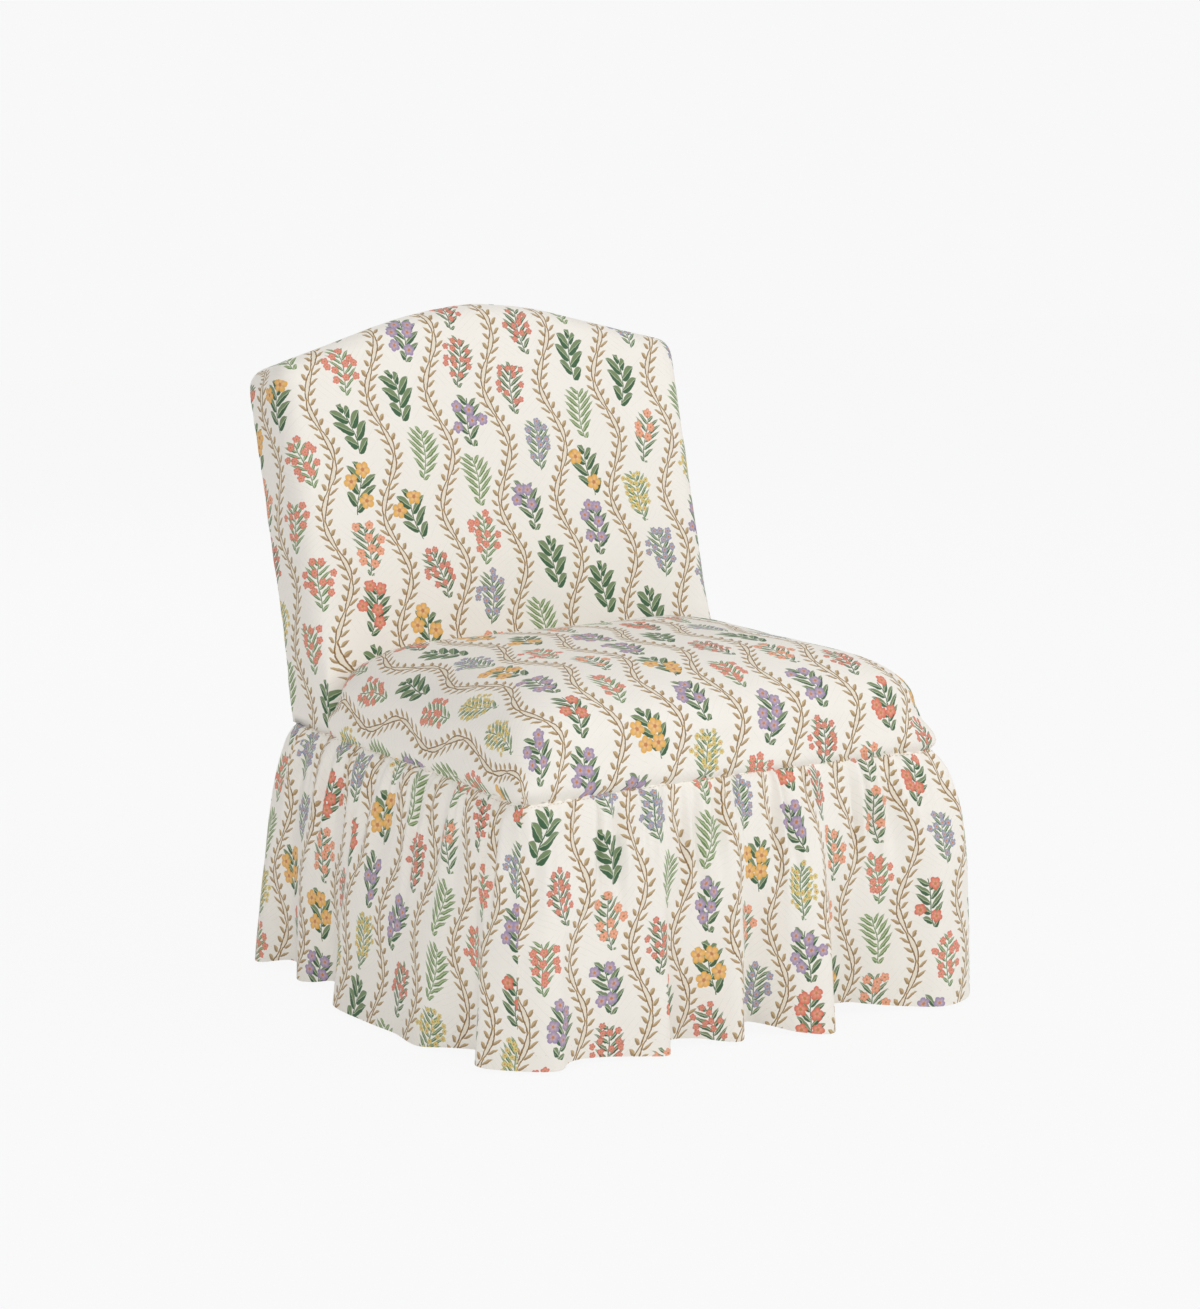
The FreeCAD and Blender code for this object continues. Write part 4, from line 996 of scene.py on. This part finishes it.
# %% Surfaces of the frame's own pieces
GRAIN_STRETCH = 0.12
grain, g, given, result = new_group(
    "wood_grain", {"Place": VECTOR, "Along": VECTOR},
    {"Color": COLOUR, "Roughness": NUMBER, "Height": NUMBER},
)
stretched = g.vector("MULTIPLY", given["Place"], given["Along"])
rings = g.noise(stretched, 55.0, 4.0, Distortion=0.6)
pore = g.noise(stretched, 420.0, 2.0) > 0.60
tone = g.mix(rings, srgb(208, 176, 132), srgb(170, 132, 90))
g.feed(result["Color"], g.mix(pore * 0.35, tone, srgb(120, 88, 58)))
g.feed(result["Roughness"], 0.48 + rings * 0.22)
g.feed(result["Height"], rings - pore * 0.5)


def wood_material(name, along):
    """Hardwood with its grain along one axis."""
    material, g, out = new_material(name)
    place = g.add("ShaderNodeTexCoord").outputs["Object"]
    stretch = tuple(GRAIN_STRETCH if axis == along else 1.0 for axis in range(3))
    board = g.group(grain, Place=place, Along=stretch)
    finish_material(g, out, board["Color"], board["Roughness"], board["Height"], 0.25, 0.0005)
    return material


def plain_material(name, first, second, rough, scale, metallic=0.0, bump_height=0.0003, weave=0.0):
    """Two close tones in a noise, with an optional weave, for linings, card, metal and plastic."""
    material, g, out = new_material(name)
    place = g.add("ShaderNodeTexCoord").outputs["Object"]
    cloud = height = factor = g.noise(place, scale, 4.0)
    if weave:
        x, y, z = g.split(place)
        woven = g.math("SINE", (x + z) * weave) * g.math("SINE", (y - z) * weave)
        height = cloud + woven
        factor = g.math("ADD", cloud * 0.5, woven * 0.3, clamp=True)
    colour = g.mix(factor, first, second)
    finish_material(g, out, colour, rough + cloud * 0.15, height, 0.4, bump_height, Metallic=metallic)
    return material


woods = [wood_material(f"hardwood_{axis}", index) for index, axis in enumerate("xyz")]
zinc = plain_material("zinc_steel", srgb(168, 170, 174), srgb(122, 126, 132), 0.28, 260, metallic=1.0)
glide_black = plain_material("glide_nylon", srgb(52, 50, 48), srgb(32, 31, 30), 0.45, 300)
jute = plain_material("jute_webbing", srgb(176, 146, 98), srgb(128, 100, 62), 0.85, 130, weave=2400.0)
lining_black = plain_material(
    "black_lining", srgb(46, 46, 49), srgb(28, 28, 30), 0.88, 700, bump_height=0.0004,
)
calico = plain_material("deck_calico", srgb(226, 216, 194), srgb(206, 192, 164), 0.9, 90, weave=5200.0)
grey_card = plain_material("upholstery_card", srgb(164, 138, 104), srgb(138, 114, 84), 0.86, 240)
thread = plain_material("linen_thread", srgb(222, 210, 190), srgb(186, 172, 148), 0.75, 900)
SURFACES = {"steel": zinc, "glide": glide_black, "webbing": jute, "lining": lining_black, "card": grey_card}
slots = {part["node"]: part["material_slot"] for part in frame["record"]["subparts"]}
for node_name, node_object in frame["nodes"].items():
    low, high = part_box(node_name)
    longest = max(range(3), key=lambda axis: high[axis] - low[axis])
    surface = calico if node_name == "seat_deck_cloth" else SURFACES.get(slots.get(node_name), woods[longest])
    if not node_object.material_slots:
        node_object.data.materials.append(surface)
    for material_slot in node_object.material_slots:
        material_slot.material = surface
print("frame pieces dressed", sum(not piece.hide_render for piece in frame["nodes"].values()))

# %% [markdown]
# ## Dust cover
# The black lining under the seat is a single sheet, notched round the legs and posts and stapled to the
# undersides of the rails. It hangs a few millimetres in the middle, and each staple pulls a small pucker.

# %% Dust cover: notched sheet with a sag
cover_points = np.array([vertex.co for vertex in frame["nodes"]["dust_cover"].data.vertices]) / MM
leg_x, post_x, edge_x = sorted(set(np.abs(cover_points[:, 0]).round(1)))[:3]
front_y, leg_y, post_y, rear_y = sorted(set(cover_points[:, 1].round(1)))[:4]
cover_top = float(cover_points[:, 2].max())
STAPLE_PITCH = 38.0
LINING = 0.8


def fill_between(stops, gap):
    """The given stops with even steps between them, none longer than the gap."""
    line = [stops[0]]
    for here, there in zip(stops, stops[1:]):
        steps = max(1, math.ceil((there - here) / gap))
        line += [here + (there - here) * (step + 1) / steps for step in range(steps)]
    return line


lines_x = fill_between([-edge_x, -post_x, -leg_x, leg_x, post_x, edge_x], 9)
lines_y = fill_between([front_y, leg_y, post_y, rear_y], 9)


def cover_height(x, y):
    """The sag in the middle and the small waves between staples near the edges."""
    middle = (1 - (x / edge_x) ** 2) * (1 - ((2 * y - front_y - rear_y) / (rear_y - front_y)) ** 2)
    near_edge = math.exp(-min(edge_x - abs(x), y - front_y, rear_y - y) / 14)
    wave = math.cos(2 * math.pi * x / STAPLE_PITCH) * math.cos(2 * math.pi * y / STAPLE_PITCH)
    return cover_top - 0.3 - 5.0 * max(middle, 0) - 0.9 * (1 - wave) * near_edge * (1 - near_edge)


tools = bmesh.new()
top, under = (
    {
        (i, j): tools.verts.new(Vector((x, y, cover_height(x, y) - drop)) * MM)
        for i, x in enumerate(lines_x) for j, y in enumerate(lines_y)
    }
    for drop in (0.0, LINING)
)


def is_cloth(i, j):
    """Whether one cell of the grid is cloth: inside the frame, and not in a notch for a leg or a post."""
    if not (0 <= i < len(lines_x) - 1 and 0 <= j < len(lines_y) - 1):
        return False
    x, y = (lines_x[i] + lines_x[i + 1]) / 2, (lines_y[j] + lines_y[j + 1]) / 2
    return not ((abs(x) > leg_x and y < leg_y) or (abs(x) > post_x and y > post_y))


NEIGHBOURS = ((0, -1), (1, 0), (0, 1), (-1, 0))
for i, j in ((i, j) for i in range(len(lines_x)) for j in range(len(lines_y)) if is_cloth(i, j)):
    around_cell = [(i, j), (i + 1, j), (i + 1, j + 1), (i, j + 1)]
    tools.faces.new([top[corner] for corner in around_cell])
    tools.faces.new([under[corner] for corner in reversed(around_cell)])
    for (di, dj), a, b in zip(NEIGHBOURS, around_cell, around_cell[1:] + around_cell[:1]):
        if not is_cloth(i + di, j + dj):
            tools.faces.new([top[b], top[a], under[a], under[b]])
bmesh.ops.delete(tools, geom=[vertex for vertex in tools.verts if not vertex.link_faces], context="VERTS")
bmesh.ops.recalc_face_normals(tools, faces=tools.faces[:])
cover_mesh = bpy.data.meshes.new("dust_cover_lining")
tools.to_mesh(cover_mesh)
tools.free()
cover_mesh.materials.append(lining_black)
cover_mesh.shade_smooth()
dust_cover = new_object("dust_cover_lining", cover_mesh)
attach(dust_cover, "root")
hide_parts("dust_cover")
lowest = min(vertex.co.z for vertex in cover_mesh.vertices) / MM
print("dust cover faces", len(cover_mesh.polygons), "lowest mm", round(lowest, 1))

# %% [markdown]
# ## Stitches and staples
# Sewing shows as rows of small bars: the stitches that join skirt and seat, the slip stitches that close the
# outside back, the hem's blind stitches and the staples under the frame. Geometry Nodes lays a bar at even
# steps along a line, with a slight change of size, and turns each one to follow the line.

# %% Rows of bars with Geometry Nodes
def bar_row(name, lines, pitch, length, thick, material):
    """Rounded bars at even steps along lines of points in millimetres."""
    mesh = bpy.data.meshes.new(name + "_lines")
    line_points, line_edges = [], []
    for line in lines:
        start = len(line_points)
        line_points += [tuple(float(c) * MM for c in point) for point in line]
        line_edges += [(start + step, start + step + 1) for step in range(len(line) - 1)]
    mesh.from_pydata(line_points, line_edges, [])
    source = new_object(name + "_lines", mesh)
    tree = bpy.data.node_groups.new(name + "_row", "GeometryNodeTree")
    tree.interface.new_socket("Geometry", in_out="INPUT", socket_type="NodeSocketGeometry")
    for socket_name, kind, value in (
        ("Pitch", NUMBER, pitch * MM), ("Length", NUMBER, length * MM), ("Thickness", NUMBER, thick * MM),
        ("Seed", "NodeSocketInt", 7),
    ):
        tree.interface.new_socket(socket_name, in_out="INPUT", socket_type=kind).default_value = value
    tree.interface.new_socket("Geometry", in_out="OUTPUT", socket_type="NodeSocketGeometry")
    g = Graph(tree)
    given = g.add("NodeGroupInput").outputs
    curve = g.add("GeometryNodeMeshToCurve", {"Mesh": given["Geometry"]})
    steps_along = g.add("GeometryNodeCurveToPoints", {"Curve": curve.outputs[0]}, mode="LENGTH")
    g.feed(steps_along.inputs["Length"], given["Pitch"])
    ball = g.add("GeometryNodeMeshIcoSphere", {"Radius": 0.5, "Subdivisions": 2})
    size = g.add("ShaderNodeCombineXYZ", {0: given["Thickness"], 1: given["Thickness"], 2: given["Length"]})
    bar = g.add("GeometryNodeTransform", {"Geometry": ball.outputs["Mesh"], "Scale": size.outputs[0]})
    uneven = g.add("FunctionNodeRandomValue", {"Seed": given["Seed"]}, data_type="FLOAT")
    low, high = (socket for socket in uneven.inputs if socket.type == "VALUE" and socket.name in ("Min", "Max"))
    low.default_value, high.default_value = 0.88, 1.1
    scale = next(socket for socket in uneven.outputs if socket.type == "VALUE" and socket.enabled)
    placed = g.add("GeometryNodeInstanceOnPoints", {
        "Points": steps_along.outputs["Points"], "Instance": bar.outputs[0],
        "Rotation": steps_along.outputs["Rotation"], "Scale": scale,
    })
    real = g.add("GeometryNodeRealizeInstances", {"Geometry": placed.outputs[0]})
    coloured = g.add("GeometryNodeSetMaterial", {"Geometry": real.outputs[0], "Material": material})
    g.add("NodeGroupOutput", {"Geometry": coloured.outputs[0]})
    modifier = source.modifiers.new("row", "NODES")
    modifier.node_group = tree
    bpy.context.view_layer.update()
    made = bpy.data.meshes.new_from_object(source.evaluated_get(bpy.context.evaluated_depsgraph_get()))
    made.name = name
    made.shade_smooth()
    bpy.data.objects.remove(source)
    piece = new_object(name, made)
    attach(piece, "root")
    print(name, len(made.polygons), "faces")
    return piece


def round_skirt(row, lift):
    """A closed line round the skirt at one row, lifted off the cloth."""
    line = skirt_grid[row] + skirt_normals[row] * lift
    return np.vstack([line, line[:1]])


bar_row("seam_stitches", [round_skirt(1, 0.2)], 5.0, 3.4, 0.7, thread)
bar_row("hem_stitches", [round_skirt(SKIRT_ROWS - 3, 0.05)], 11.0, 1.8, 0.45, thread)
slip_line = np.array([point for point, _ in rear_rows[2]])
bar_row("slip_stitches", [slip_line + np.array([0, 0.4, -0.1])], 8.0, 3.6, 0.7, thread)
staple_z = cover_top - 1.6
bar_row("dust_cover_staples", [
    [(-leg_x + 12, front_y + 5, staple_z), (leg_x - 12, front_y + 5, staple_z)],
    [(-post_x + 12, rear_y - 5, staple_z), (post_x - 12, rear_y - 5, staple_z)],
    [(-edge_x + 5, leg_y + 12, staple_z), (-edge_x + 5, post_y - 12, staple_z)],
    [(edge_x - 5, leg_y + 12, staple_z), (edge_x - 5, post_y - 12, staple_z)],
], STAPLE_PITCH, 10.5, 1.1, zinc)
